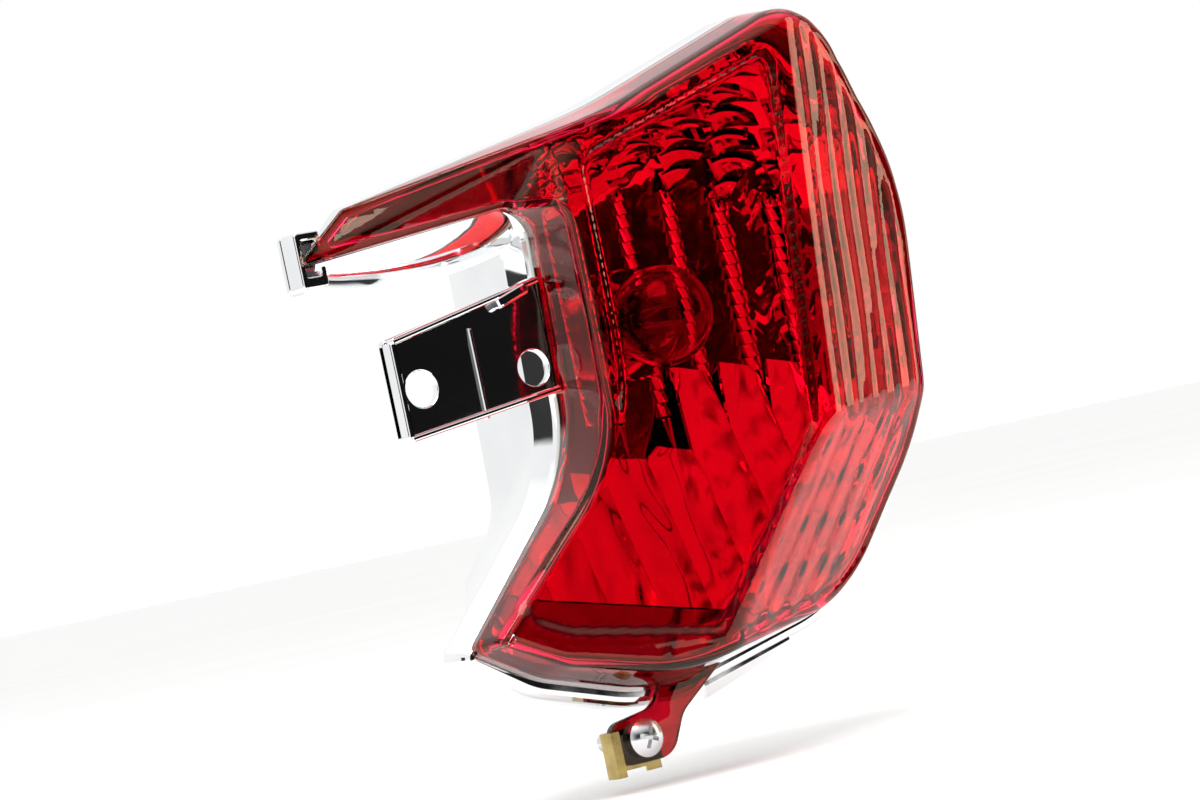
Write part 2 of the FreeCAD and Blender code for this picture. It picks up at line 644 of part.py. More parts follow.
def make_clip_nut():
    """A spring-steel clip: a plate behind the tab, a flange round its end, a hook and a threaded barrel."""
    outer_x = CLIP_INBOARD - CLIP_SHEET
    hook_y = -TAB_THICKNESS - GAP
    plate = clip_box(outer_x, 0, CLIP_BOTTOM, CLIP_OUTBOARD, CLIP_SHEET, CLIP_TOP)
    flange = clip_box(outer_x, hook_y - CLIP_SHEET, CLIP_BOTTOM, CLIP_INBOARD, CLIP_SHEET, CLIP_TOP)
    hook = clip_box(outer_x, hook_y - CLIP_SHEET, CLIP_BOTTOM, CLIP_INBOARD + CLIP_HOOK, hook_y, CLIP_TOP)
    barrel = rod(BARREL_RADIUS, CLIP_SHEET, CLIP_SHEET + BARREL_HEIGHT, SCREW_X, SCREW_Z)
    (notch_x, notch_z), (notch_end_x, notch_top) = CLIP_NOTCH
    notch = clip_box(notch_x, 0, notch_z, notch_end_x, CLIP_SHEET, notch_top)
    clip = plate.fuse([flange, hook, barrel]).cut(notch)
    bore = rod(SCREW_RADIUS + FIT, 0, CLIP_SHEET + BARREL_HEIGHT, SCREW_X, SCREW_Z)
    return clip.cut(bore).removeSplitter()


def make_tab_screw():
    """A pan-head screw with a cross recess, driven in from the rear."""
    seat = -TAB_THICKNESS
    head_end = seat - HEAD_HEIGHT
    head = rod(HEAD_RADIUS, head_end, seat, SCREW_X, SCREW_Z)
    head = head.common(Part.makeSphere(HEAD_CROWN, Vector(SCREW_X, head_end + HEAD_CROWN, SCREW_Z)))
    for degrees in RECESS_ANGLES:
        recess = clip_box(-RECESS_HALF_LENGTH, head_end, -RECESS_HALF_WIDTH,
                          RECESS_HALF_LENGTH, head_end + RECESS_DEPTH, RECESS_HALF_WIDTH)
        head = head.cut(turned(recess, degrees, SCREW_X, SCREW_Z))
    point_start = seat + SCREW_LENGTH - SCREW_POINT
    shank = rod(SCREW_RADIUS, seat, point_start, SCREW_X, SCREW_Z)
    point = Part.makeCone(
        SCREW_RADIUS, SCREW_RADIUS - SCREW_POINT, SCREW_POINT,
        Vector(SCREW_X, point_start, SCREW_Z), Vector(0, 1, 0))
    return head.fuse([shank, point]).removeSplitter()


SUBPARTS = {
    "lens": make_lens(),
    "lens_seal": make_lens_seal(),
    "reflector_housing": make_housing(),
    "tab_clip_nut": make_clip_nut(),
    "tab_screw": make_tab_screw(),
    "bulb_holder_body": make_holder_body(),
    "bulb_holder_gasket": make_holder_gasket(),
    "socket_sleeve": make_socket_sleeve(),
    "tail_terminal": make_terminal(BLADE_PLACES["tail_terminal"]),
    "brake_terminal": make_terminal(BLADE_PLACES["brake_terminal"]),
    "ground_terminal": make_ground_terminal(),
    "contact_spring": make_contact_spring(),
    "contact_carrier": make_contact_carrier(),
    "tail_contact_stud": make_contact_stud(-1),
    "brake_contact_stud": make_contact_stud(1),
    "bulb_glass": make_bulb_glass(),
    "bulb_glass_mount": make_bulb_stem(),
    "bulb_base_shell": make_bulb_base(),
    "bulb_bayonet_pins": make_bayonet_pins(),
    "bulb_base_insulator": make_base_insulator(),
    "bulb_solder_contacts": make_solder_contacts(),
    "filament_supports": make_filament_supports(),
    "tail_filament": make_filament(TAIL_FILAMENT),
    "brake_filament": make_filament(BRAKE_FILAMENT),
}

os.makedirs("parts", exist_ok=True)
for name, shape in SUBPARTS.items():
    print(f"{name}: {shape.Volume:.1f} mm3, solids {len(shape.Solids)}, valid {shape.isValid()}")
    shape.exportStep(f"parts/{name}.step")
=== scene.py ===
import json
import math

import bmesh
import bpy
import numpy as np
from mathutils import Matrix, Vector
from mathutils.geometry import delaunay_2d_cdt


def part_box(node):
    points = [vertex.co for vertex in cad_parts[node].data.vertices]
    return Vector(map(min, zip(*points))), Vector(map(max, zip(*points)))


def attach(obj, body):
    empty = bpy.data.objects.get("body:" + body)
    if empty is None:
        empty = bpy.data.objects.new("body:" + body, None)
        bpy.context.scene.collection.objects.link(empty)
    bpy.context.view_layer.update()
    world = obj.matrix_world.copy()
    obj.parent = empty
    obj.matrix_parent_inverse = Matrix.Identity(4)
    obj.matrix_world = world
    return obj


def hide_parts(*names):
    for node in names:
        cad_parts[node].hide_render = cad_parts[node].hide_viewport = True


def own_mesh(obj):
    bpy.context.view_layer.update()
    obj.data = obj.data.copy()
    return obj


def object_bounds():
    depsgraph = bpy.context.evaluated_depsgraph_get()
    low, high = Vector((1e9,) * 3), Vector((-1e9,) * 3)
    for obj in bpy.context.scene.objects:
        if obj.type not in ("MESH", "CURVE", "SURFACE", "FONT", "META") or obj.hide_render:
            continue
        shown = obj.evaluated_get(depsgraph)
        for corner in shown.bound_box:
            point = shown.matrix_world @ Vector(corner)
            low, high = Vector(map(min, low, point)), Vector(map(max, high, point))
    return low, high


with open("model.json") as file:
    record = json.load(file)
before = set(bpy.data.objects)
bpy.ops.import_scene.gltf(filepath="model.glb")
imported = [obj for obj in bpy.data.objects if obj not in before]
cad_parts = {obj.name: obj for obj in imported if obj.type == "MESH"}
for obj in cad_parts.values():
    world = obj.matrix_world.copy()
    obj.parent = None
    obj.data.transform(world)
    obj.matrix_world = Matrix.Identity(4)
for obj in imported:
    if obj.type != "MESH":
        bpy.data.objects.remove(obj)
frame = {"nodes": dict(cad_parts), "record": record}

CAD_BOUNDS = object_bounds()
MM = 0.001
SHELL = "lamp_shell"

# ---------------------------------------------------------------- sizes of the lens, in millimetres
# X points outboard, Y forward into the vehicle, Z up; the lens is seated on the plane y = 0.

WALL = 2.4
LENS_REACH = 34.0
SCREW_X = 22.0
SCREW_Z = -91.2
SCREW_HOLE = 2.9
TAB_THICKNESS = 3.0
TAB_ROUNDING = 0.6

# corner x, corner z, corner radius, anticlockwise seen from the rear
LENS_OUTLINE = [
    (-18.5, -62.5, 2.5),
    (-2.0, -72.5, 25.0),
    (30.0, -82.5, 50.0),
    (90.0, -70.0, 45.0),
    (121.0, -32.5, 50.0),
    (132.5, 30.0, 55.0),
    (108.0, 81.5, 21.0),
    (44.0, 59.5, 150.0),
    (-27.0, 44.5, 4.0),
    (-42.5, 32.5, 1.2),
    (22.0, 39.0, 8.0),
    (19.5, -24.0, 40.0),
]
# how far each side leans inwards over LENS_REACH; side i starts at corner i
LENS_DRAFT = [8.0, 8.0, 8.0, 4.0, 4.0, 4.0, 4.0, 4.0, 2.0, 1.5, 2.0, 2.0]
# rounding of the edge between each side and the facets
LENS_ROUNDING = [3.0, 3.5, 3.0, 2.0, 2.0, 3.0, 5.0, 1.2, 0.8, 1.5, 4.0, 3.5]
TAB_OUTLINE = [
    (52.0, -75.5, 1.0),
    (33.0, -75.0, 1.0),
    (27.0, -84.5, 5.0),
    (13.6, -86.5, 3.5),
    (13.6, -97.0, 5.0),
    (30.0, -97.0, 6.5),
    (35.0, -87.5, 8.0),
]
BOWL_FRONT_OUTLINE = [
    (-16.0, -61.5, 5.0),
    (-1.0, -71.5, 20.0),
    (30.0, -80.0, 45.0),
    (88.0, -67.5, 45.0),
    (118.0, -32.0, 45.0),
    (129.0, 28.0, 50.0),
    (103.0, 73.0, 14.0),
    (22.5, 51.0, 10.0),
    (19.7, -24.0, 40.0),
]
BULB_X = 60.0
BULB_Z = 7.0

# points of the facets' ridges and of the planes between them
RIDGE_TOP = (95.8, -17.0, 68.8)
RIDGE_KINK = (78.2, -27.0, -26.1)
RIDGE_BOTTOM = (40.7, -22.0, -72.6)
WINDOW_CORNER = (25.3, -19.0, 35.4)
WING_RIDGE_INNER = (22.2, -15.0, 50.5)
WINDOW_UPPER = [WINDOW_CORNER, RIDGE_KINK, RIDGE_TOP]
WINDOW_LOWER = [(19.3, -20.0, -11.0), (-14.0, -12.0, -57.5), RIDGE_BOTTOM]
SIDE_UPPER = [RIDGE_TOP, RIDGE_KINK, (131.0, -3.0, 15.0)]
SIDE_LOWER = [RIDGE_KINK, RIDGE_BOTTOM, (112.0, -3.0, -42.0)]
WING_UPPER = [(-30.0, -2.5, 37.5), WING_RIDGE_INNER, (-27.0, -0.5, 44.5)]
WING_LOWER = [(-41.0, -1.5, 32.6), (10.0, -3.0, 37.9), WING_RIDGE_INNER]

# the clear window, inside its raised frame: corner x, corner z, corner radius
WINDOW_OUTLINE = [
    (-9.0, -57.5, 3.0),
    (2.0, -63.0, 12.0),
    (38.5, -70.5, 2.5),
    (74.5, -26.3, 3.0),
    (91.0, 66.0, 3.0),
    (29.0, 46.5, 7.0),
    (25.5, -17.0, 45.0),
]
WINDOW_SINK = 0.9

# roundness of the ridges between facets
WINDOW_BLEND = 2.5
SIDE_BLEND = 0.35
BODY_BLEND = 0.8
WING_BLEND = 0.7
JOINT_BLEND = 1.0

BODY_END_X = 20.0          # beside the wing the body falls off here; below the wing it runs on
BODY_END_DEPTH = 9.0
BODY_END_SLOPE = 3.2
BELOW_WING = (29.0, 36.0)  # heights between which the fall-off moves away
BELOW_WING_SHIFT = 90.0
WING_END_X = 31.0
WING_END_DEPTH = 22.0
WING_END_SLOPE = 3.0

FLUTE_PITCH = 6.4
FLUTE_HEIGHT = 0.3
FLUTE_START = (1.6, 3.2)   # distance of the side's plane below the window's where flutes start
FLUTE_SWAY = 0.3
FLUTE_FADE = 0.28          # share of a flute's height that comes and goes along it
INNER_FLUTE = 0.4
INNER_CLEARANCE = 0.3
PILLOW_HEIGHT = 0.25
PILLOW_LENGTH = 5.0

SKIN_SPACING = 1.2
LEAST_DEPTH = 0.6
RIDGE_OFFSETS = (-1.5, -0.75, 0.0, 0.75, 1.5)
RIDGE_STEP = 0.9

CURVE_STEP = 0.8
NO_POINTS = np.empty((0, 2))


# ---------------------------------------------------------------- outlines

def corner_arc(before, corner, after):
    """Start, centre, end and radius of the arc that rounds one corner of an outline."""
    here = np.array(corner[:2])
    to_before = np.array(before[:2]) - here
    to_before /= np.linalg.norm(to_before)
    to_after = np.array(after[:2]) - here
    to_after /= np.linalg.norm(to_after)
    half_angle = 0.5 * math.acos(float(np.clip(to_before @ to_after, -1, 1)))
    radius = corner[2]
    bisector = to_before + to_after
    bisector /= np.linalg.norm(bisector)
    reach = radius / math.tan(half_angle)
    centre = here + bisector * (radius / math.sin(half_angle))
    return here + to_before * reach, centre, here + to_after * reach, radius


def outline_pieces(corners):
    """Each corner's arc and the side after it, as functions of the share along them, with lengths."""
    count = len(corners)
    arcs = [corner_arc(corners[i - 1], corners[i], corners[(i + 1) % count]) for i in range(count)]
    pieces = []
    for index, (start, centre, end, radius) in enumerate(arcs):
        first = math.atan2(start[1] - centre[1], start[0] - centre[0])
        last = math.atan2(end[1] - centre[1], end[0] - centre[0])
        turn = (last - first + math.pi) % (2 * math.pi) - math.pi
        following = arcs[(index + 1) % count][0]

        def arc(share, centre=centre, radius=radius, first=first, turn=turn):
            angle = first + turn * share
            return centre + radius * np.array([math.cos(angle), math.sin(angle)])

        def side(share, end=end, following=following):
            return end + (following - end) * share

        pieces.append((arc, abs(turn) * radius, side, float(np.linalg.norm(following - end))))
    return pieces


def sample_outline(corners, step, side_values=None):
    """Points along an outline of straight sides and corner arcs, with a value carried by each side."""
    values = side_values or [0.0] * len(corners)
    points = []
    carried = []
    for index, (arc, arc_length, side, side_length) in enumerate(outline_pieces(corners)):
        count = max(4, math.ceil(arc_length / step))
        for share in np.arange(count) / count:
            points.append(arc(share))
            carried.append(values[index - 1] * (1 - share) + values[index] * share)
        count = max(1, math.ceil(side_length / step))
        for share in np.arange(count) / count:
            points.append(side(share))
            carried.append(values[index])
    return np.array(points), np.array(carried)


def outline_loop(corners, step=CURVE_STEP):
    return sample_outline(corners, step)[0]


def matched_loops(first_corners, second_corners, count=240):
    """Two outlines sampled at the same shares of their corners and sides."""
    loops = []
    for corners in (first_corners, second_corners):
        per_piece = count // (2 * len(corners))
        points = []
        for arc, _, side, _ in outline_pieces(corners):
            for piece in (arc, side):
                points += [piece(share) for share in np.arange(per_piece) / per_piece]
        loops.append(np.array(points))
    return loops


def inset_corners(corners, inset):
    """The outline's corners with every side moved inwards by inset."""
    count = len(corners)
    moved = []
    for index, corner in enumerate(corners):
        here = np.array(corner[:2])
        arriving = here - np.array(corners[index - 1][:2])
        arriving /= np.linalg.norm(arriving)
        leaving = np.array(corners[(index + 1) % count][:2]) - here
        leaving /= np.linalg.norm(leaving)
        turn = arriving[0] * leaving[1] - arriving[1] * leaving[0]
        shifted = here + (leaving - arriving) * inset / turn
        if turn > 0:
            radius = max(corner[2] - inset, min(corner[2], 0.8))
        else:
            radius = corner[2] + inset
        moved.append((shifted[0], shifted[1], radius))
    return moved


def inward_normals(points):
    """The unit normal towards the inside at each point of an anticlockwise loop."""
    along = np.roll(points, -1, axis=0) - np.roll(points, 1, axis=0)
    along /= np.linalg.norm(along, axis=1)[:, None]
    return np.stack([-along[:, 1], along[:, 0]], axis=1)


def inside(points, loop):
    """True for each point that lies inside the closed loop."""
    ends = np.roll(loop, -1, axis=0)
    result = np.zeros(len(points), bool)
    for (x0, z0), (x1, z1) in zip(loop, ends):
        if z0 == z1:
            continue
        crosses = (points[:, 1] > z0) != (points[:, 1] > z1)
        at_x = x0 + (points[:, 1] - z0) * (x1 - x0) / (z1 - z0)
        result ^= crosses & (points[:, 0] < at_x)
    return result


def inside_but_not(outer, holes):
    """A test for points inside one loop and outside the others."""
    def test(points):
        kept = inside(points, outer)
        for hole in holes:
            kept &= ~inside(points, hole)
        return kept
    return test


def distance_to_loop(points, loop):
    """The distance from each point to the nearest side of the closed loop."""
    nearest = np.full(len(points), np.inf)
    for start, end in zip(loop, np.roll(loop, -1, axis=0)):
        side = end - start
        length_squared = float(side @ side)
        if length_squared == 0:
            continue
        share = np.clip((points - start) @ side / length_squared, 0, 1)
        nearest = np.minimum(nearest, np.linalg.norm(points - start - share[:, None] * side, axis=1))
    return nearest


def signed_depth_in(points, loop):
    """Distance to the loop, positive inside it."""
    distance = distance_to_loop(points, loop)
    return np.where(inside(points, loop), distance, -distance)


def circle(x, z, radius, step=CURVE_STEP):
    count = max(24, math.ceil(2 * math.pi * radius / step))
    angles = 2 * math.pi * np.arange(count) / count
    return np.stack([x + radius * np.cos(angles), z + radius * np.sin(angles)], axis=1)


def hex_grid(low, high, spacing):
    """Evenly spread points over a rectangle."""
    rows = np.arange(low[1], high[1], spacing * math.sqrt(0.75))
    points = []
    for index, z in enumerate(rows):
        shift = 0.5 * spacing * (index % 2)
        points += [(x, z) for x in np.arange(low[0] + shift, high[0], spacing)]
    return np.array(points)


# ---------------------------------------------------------------- meshes

def new_object(name, vertices, faces, material, body, sharp_angle=None):
    """A smooth mesh object in metres from vertices in millimetres, riding on a body.

    With a sharp angle, steeper edges are sharp and flat faces stay flat up to their edges.
    """
    mesh = bpy.data.meshes.new(name)
    mesh.from_pydata([tuple(float(v) * MM for v in vertex) for vertex in vertices], [], faces)
    mesh.validate()
    work = bmesh.new()
    work.from_mesh(mesh)
    bmesh.ops.recalc_face_normals(work, faces=work.faces)
    work.to_mesh(mesh)
    work.free()
    mesh.update()
    mesh.materials.append(material)
    mesh.polygons.foreach_set("use_smooth", [True] * len(mesh.polygons))
    obj = bpy.data.objects.new(name, mesh)
    bpy.context.scene.collection.objects.link(obj)
    if sharp_angle is not None:
        mesh.set_sharp_from_angle(angle=math.radians(sharp_angle))
        weighted = obj.modifiers.new("flat faces stay flat", "WEIGHTED_NORMAL")
        weighted.mode = "FACE_AREA"
        weighted.keep_sharp = True
    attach(obj, body)
    return obj


def triangulate(loops, interior, keep):
    """Triangles over the loops and interior points whose centres pass the keep test."""
    points = np.concatenate(loops + [interior])
    edges = []
    offset = 0
    for loop in loops:
        size = len(loop)
        edges += [(offset + i, offset + (i + 1) % size) for i in range(size)]
        offset += size
    result = delaunay_2d_cdt([Vector(p) for p in points.tolist()], edges, [], 0, 1e-6, True)
    triangles = np.array([tri for tri in result[2] if len(tri) == 3])
    original = np.array([ids[0] if ids else -1 for ids in result[3]])
    triangles = original[triangles]
    triangles = triangles[(triangles >= 0).all(axis=1)]
    triangles = triangles[keep(points[triangles].mean(axis=1))]
    first, second, third = (points[triangles[:, i]] for i in range(3))
    area = (second[:, 0] - first[:, 0]) * (third[:, 1] - first[:, 1]) \
        - (second[:, 1] - first[:, 1]) * (third[:, 0] - first[:, 0])
    triangles[area < 0] = triangles[area < 0][:, ::-1]
    return triangles[np.abs(area) > 1e-9]


def band(count, first, shift):
    """Faces between a loop of points and the same points further on in the list."""
    sides = [(first + i, first + (i + 1) % count) for i in range(count)]
    return [(i, j, j + shift, i + shift) for i, j in sides]


def skin_of_rings(size, rings, first=0):
    """Faces between successive rings of equal size."""
    return [face for level in range(rings - 1) for face in band(size, first + level * size, size)]


def capped_loft(rings):
    """A closed solid through rings of (x, y, z) points."""
    vertices = [tuple(point) for ring in rings for point in ring]
    size = len(rings[0])
    last = len(vertices) - size
    ends = [tuple(range(size)), tuple(reversed(range(last, last + size)))]
    return vertices, skin_of_rings(size, len(rings)) + ends


def rounded_plate(outline, holes, low_y, high_y, radius, flare=None):
    """Vertices and faces of a plate between two depths, with rounded edges.

    The outline and the holes are loops of points; flare gives how far each point of the outline
    stands further out at the high end than at the low end.
    """
    vertices = []
    faces = []
    caps = {low_y: [], high_y: []}
    for loop, sense in [(outline, 1.0)] + [(hole, -1.0) for hole in holes]:
        normals = inward_normals(loop) * sense
        profile = []
        for angle in range(0, 91, 30):
            turn = math.radians(angle)
            profile.append((radius * (1 - math.sin(turn)), low_y + radius * (1 - math.cos(turn))))
        profile += [(inset, high_y + low_y - y) for inset, y in reversed(profile)]
        first = len(vertices)
        size = len(loop)
        spread = flare if flare is not None and sense > 0 else np.zeros(size)
        for inset, y in profile:
            share = (y - low_y) / (high_y - low_y)
            ring = loop + normals * (inset - spread * share)[:, None]
            vertices += [(px, y, pz) for px, pz in ring]
        faces += skin_of_rings(size, len(profile), first)
        last = first + (len(profile) - 1) * size
        caps[low_y].append((first, loop + normals * radius))
        caps[high_y].append((last, loop + normals * (radius - spread)[:, None]))
    for rings in caps.values():
        loops = [ring for _, ring in rings]
        ids = np.concatenate([first + np.arange(len(ring)) for first, ring in rings])
        triangles = triangulate(loops, NO_POINTS, inside_but_not(loops[0], loops[1:]))
        faces += [tuple(int(ids[t]) for t in triangle) for triangle in triangles]
    return vertices, faces


def merged(parts):
    """One set of vertices and faces from several."""
    vertices = []
    faces = []
    for part_vertices, part_faces in parts:
        first = len(vertices)
        vertices += list(part_vertices)
        faces += [tuple(first + index for index in face) for face in part_faces]
    return vertices, faces


# ---------------------------------------------------------------- the lens's form

def plane(points):
    """Depth of a facet behind the seat as a function of x and z."""
    matrix = np.array([[1.0, x, z] for x, _, z in points])
    depths = np.array([-y for _, y, _ in points])
    a, b, c = np.linalg.solve(matrix, depths)
    return lambda x, z: a + b * x + c * z


def soft_min(values, blend):
    """The lowest of several values, rounded where they cross."""
    stack = np.stack(values) / blend
    lowest = stack.min(axis=0)
    return blend * (lowest - np.log(np.exp(lowest - stack).sum(axis=0)))


def soft_max(values, blend):
    return -soft_min([-value for value in values], blend)


def smooth_step(value, low, high):
    share = np.clip((value - low) / (high - low), 0, 1)
    return share * share * (3 - 2 * share)


window_upper = plane(WINDOW_UPPER)
window_lower = plane(WINDOW_LOWER)
side_upper = plane(SIDE_UPPER)
side_lower = plane(SIDE_LOWER)
wing_upper = plane(WING_UPPER)
wing_lower = plane(WING_LOWER)
WINDOW_LOOP = outline_loop(WINDOW_OUTLINE, 1.5)


def window_depth(x, z):
    return soft_min([window_upper(x, z), window_lower(x, z)], WINDOW_BLEND)


def main_depth(x, z):
    """The main body of the lens, without its wing: facets joined by rounded ridges."""
    side = soft_min([side_upper(x, z), side_lower(x, z)], SIDE_BLEND)
    end_x = BODY_END_X - BELOW_WING_SHIFT * smooth_step(-z, -BELOW_WING[1], -BELOW_WING[0])
    end = BODY_END_DEPTH + (x - end_x) * BODY_END_SLOPE
    return soft_min([window_depth(x, z), side, wing_upper(x, z), end], BODY_BLEND)


def lens_depth(x, z):
    """Depth of the lens's outer skin behind its seat, before the window and flutes are worked in."""
    wing_end = WING_END_DEPTH - WING_END_SLOPE * (x - WING_END_X)
    wing = soft_min([wing_upper(x, z), wing_lower(x, z), wing_end], WING_BLEND)
    return soft_max([main_depth(x, z), wing], JOINT_BLEND)


def across(x, z, start, end):
    """Distance from the line through two ridge points, positive outboard."""
    along = np.array([end[0] - start[0], end[2] - start[2]])
    along /= np.linalg.norm(along)
    return -((x - start[0]) * along[1] - (z - start[2]) * along[0])


def outboard_share(x, z):
    """How far a point lies onto the fluted outboard facets, from 0 on the ridge to 1."""
    side = np.minimum(side_upper(x, z), side_lower(x, z))
    return smooth_step(window_depth(x, z) - side, *FLUTE_START)


def flutes(x, z):
    """Half-round ribs along the ridge on both outboard facets, swaying and fading a little."""
    upper = across(x, z, RIDGE_TOP, RIDGE_KINK)
    lower = across(x, z, RIDGE_KINK, RIDGE_BOTTOM)
    on_upper = side_upper(x, z) < side_lower(x, z)
    distance = np.where(on_upper, upper, lower) + FLUTE_SWAY * np.sin(0.11 * z + 0.05 * x)
    height = 1 - FLUTE_FADE + FLUTE_FADE * np.sin(0.08 * z + 0.8 * distance)
    return height * np.abs(np.sin(math.pi * distance / FLUTE_PITCH)) * outboard_share(x, z)


def outer_depth(points):
    """The outer skin, with its sunk window and its flutes."""
    x, z = points.T
    sunk = WINDOW_SINK * smooth_step(signed_depth_in(points, WINDOW_LOOP), 0.0, 1.0)
    return lens_depth(x, z) - sunk + FLUTE_HEIGHT * (flutes(x, z) - outboard_share(x, z))


def inner_depth(points):
    """The inner skin, with deeper flutes crossed by low pillows."""
    x, z = points.T
    pillows = np.sin(math.pi * z / PILLOW_LENGTH) * outboard_share(x, z)
    relief = INNER_FLUTE * flutes(x, z) - PILLOW_HEIGHT * pillows
    return lens_depth(x, z) - WALL - INNER_CLEARANCE - relief


def ridge_points():
    """Extra points along the ridges, so that their rounding is even."""
    points = []
    for start, end in ((RIDGE_TOP, RIDGE_KINK), (RIDGE_KINK, RIDGE_BOTTOM)):
        a = np.array([start[0], start[2]])
        b = np.array([end[0], end[2]])
        length = np.linalg.norm(b - a)
        normal = np.array([-(b - a)[1], (b - a)[0]]) / length
        for offset in RIDGE_OFFSETS:
            for share in np.arange(0, 1, RIDGE_STEP / length):
                points.append(a + (b - a) * share + normal * offset)
    return np.array(points)


def lens_skin(corners, depth_at, rounding):
    """One skin of the lens from the seat up its walls and over the top: vertices, faces, seat size."""
    seat, lean = sample_outline(corners, SKIN_SPACING, LENS_DRAFT)
    _, rounding = sample_outline(corners, SKIN_SPACING, rounding)
    normals = inward_normals(seat)
    lean = lean / LENS_REACH
    depth = depth_at(seat)
    for _ in range(3):
        inset = lean * depth + rounding
        depth = np.maximum(depth_at(seat + normals * inset[:, None]), LEAST_DEPTH)
    radius = np.minimum(rounding, 0.45 * depth)
    rings = []
    for share in np.linspace(0.0, 1.0, 5):
        rise = (depth - radius) * share
        rings.append((seat + normals * (lean * rise)[:, None], rise))
    for angle in range(15, 91, 15):
        turn = math.radians(angle)
        inset = lean * (depth - radius) + radius * (1 - math.cos(turn))
        rings.append((seat + normals * inset[:, None], depth - radius + radius * math.sin(turn)))
    vertices = [(x, -y, z) for ring, rise in rings for (x, z), y in zip(ring, rise)]
    size = len(seat)
    faces = skin_of_rings(size, len(rings))
    rim = rings[-1][0]
    grid = hex_grid(rim.min(axis=0), rim.max(axis=0), SKIN_SPACING)
    extra = ridge_points()
    away = np.array([np.min(np.sum((extra - p) ** 2, axis=1)) for p in grid])
    grid = np.concatenate([grid[away > (0.5 * SKIN_SPACING) ** 2], extra])
    grid = grid[signed_depth_in(grid, rim) > 0.45 * SKIN_SPACING]
    rim_start = len(vertices) - size
    vertices += [(x, -y, z) for (x, z), y in zip(grid, depth_at(grid))]
    triangles = triangulate([rim], grid, inside_but_not(rim, []))
    faces += [tuple(int(rim_start + t) for t in triangle) for triangle in triangles]
    return vertices, faces, size


def make_lens(material):
    outer, outer_faces, outer_size = lens_skin(LENS_OUTLINE, outer_depth, LENS_ROUNDING)
    inner_rounding = [max(radius - WALL, LEAST_DEPTH) for radius in LENS_ROUNDING]
    inner_outline = inset_corners(LENS_OUTLINE, WALL)
    inner, inner_faces, inner_size = lens_skin(inner_outline, inner_depth, inner_rounding)
    vertices, faces = merged([(outer, outer_faces), (inner, inner_faces)])
    outer_seat = np.array([(x, z) for x, _, z in outer[:outer_size]])
    inner_seat = np.array([(x, z) for x, _, z in inner[:inner_size]])
    seats = [outer_seat, inner_seat]
    to_inner = len(outer) - outer_size
    for triangle in triangulate(seats, NO_POINTS, inside_but_not(outer_seat, [inner_seat])):
        faces.append(tuple(int(t) if t < outer_size else int(t) + to_inner for t in triangle))
    hole = circle(SCREW_X, SCREW_Z, SCREW_HOLE)
    tab = rounded_plate(outline_loop(TAB_OUTLINE), [hole], -TAB_THICKNESS, 0.0, TAB_ROUNDING)
    vertices, faces = merged([(vertices, faces), tab])
    return new_object("lens_skin", vertices, faces, material, SHELL)


# ---------------------------------------------------------------- reflector

REFLECTOR_EDGE = outline_loop(inset_corners(BOWL_FRONT_OUTLINE, 3.4), 1.5)
DISH_DEPTH = 24.0
DISH_RISE = 14.0           # how much shallower the dish is at DISH_RADIUS from the bulb
DISH_RADIUS = 70.0
EDGE_DEPTH = 7.0
EDGE_SLOPE = 0.75
TILE_THICKNESS = 1.2
LEAST_HEIGHT = 0.05
BULB_CLEARANCE = 10.5

COLUMN_START = -6.2
COLUMN_PITCH = 13.7
COLUMN_GAP = 0.15
COLUMNS = 9
SCALE_TOP_Z = 61.5         # a row of scales ends at this height in every column
SCALE_ROWS_ABOVE = 4
# per column: row height of its scales, height where they give way to the panel, start of its lower
# sheet, and how far the wedge at its left runs down
ROW_HEIGHTS = [4.7, 4.7, 4.7, 4.7, 4.7, 4.7, 4.7, 5.9, 7.1]
SPLIT_Z = [40.0, 40.0, 40.0, 41.0, 41.0, 40.4, 37.8, 33.5, 32.0]
LOWER_STARTS = [-24.0, -24.0, -24.0, -24.0, -24.0, -5.5, -6.5, -8.0, -6.0]
WEDGE_LENGTHS = [1.0, 1.0, 1.0, 1.0, 3.0, 22.0, 16.0, 13.0, 22.0]
WEDGE_WIDTH = 5.0
SLANT = 9.0                # how far the scales' end climbs across a column

FACET_LEAN = 0.40          # depth per millimetre of height; turned up enough to mirror the ceiling
SCALE_BULGE = 0.12
SCALE_HUMP = 0.9
SCALE_SKEW = 1.15
CRESCENT = 1.2
STRIP_WIDTH = 3.0
STRIP_STEP = 3.4
STRIP_BULGE = 0.5
PANEL_Z = 30.0             # height at which the dish's depth is taken for panels and strips
PANEL_SINK = 0.8
PANEL_END_Z = -34.0
PANEL_MARGIN = 3.0
RIPPLE = 0.6
RIPPLE_START = (80.0, 88.0)
LOWER_TOP_Z = -6.0
LOWER_DEPTH = 20.0         # depth of the lower sheet at its top
LOWER_BULGE = 0.5
LOWER_END_Z = -53.0
LOWER_END_SLOPE = -0.25
FLAME_DEPTH = 0.16
FLAMES = 1.6               # to a column
FOOT_LEAN = 0.24

BACKING_HOLE = 11.0
BACKING_SINK = 2.6
BACKING_THICKNESS = 0.8
# radius and depth round the collar's section
COLLAR_SECTION = [(9.4, 22.2), (13.4, 22.2), (13.9, 22.7), (13.9, 24.0), (10.4, 27.0), (9.4, 27.0)]
COLLAR_STEPS = 64


def reflector_base(x, z):
    """The shallow dish that the reflector's facets follow."""
    around = np.hypot(x - BULB_X, z - BULB_Z) / DISH_RADIUS
    dish = DISH_DEPTH - DISH_RISE * around ** 2
    points = np.stack([x, z], axis=-1)
    return np.minimum(dish, EDGE_DEPTH + EDGE_SLOPE * signed_depth_in(points, REFLECTOR_EDGE))


def flat_depth(x, z):
    """The dish's depth at one point, for tiles that face straight to the rear."""
    return float(reflector_base(np.array([x]), np.array([z]))[0])


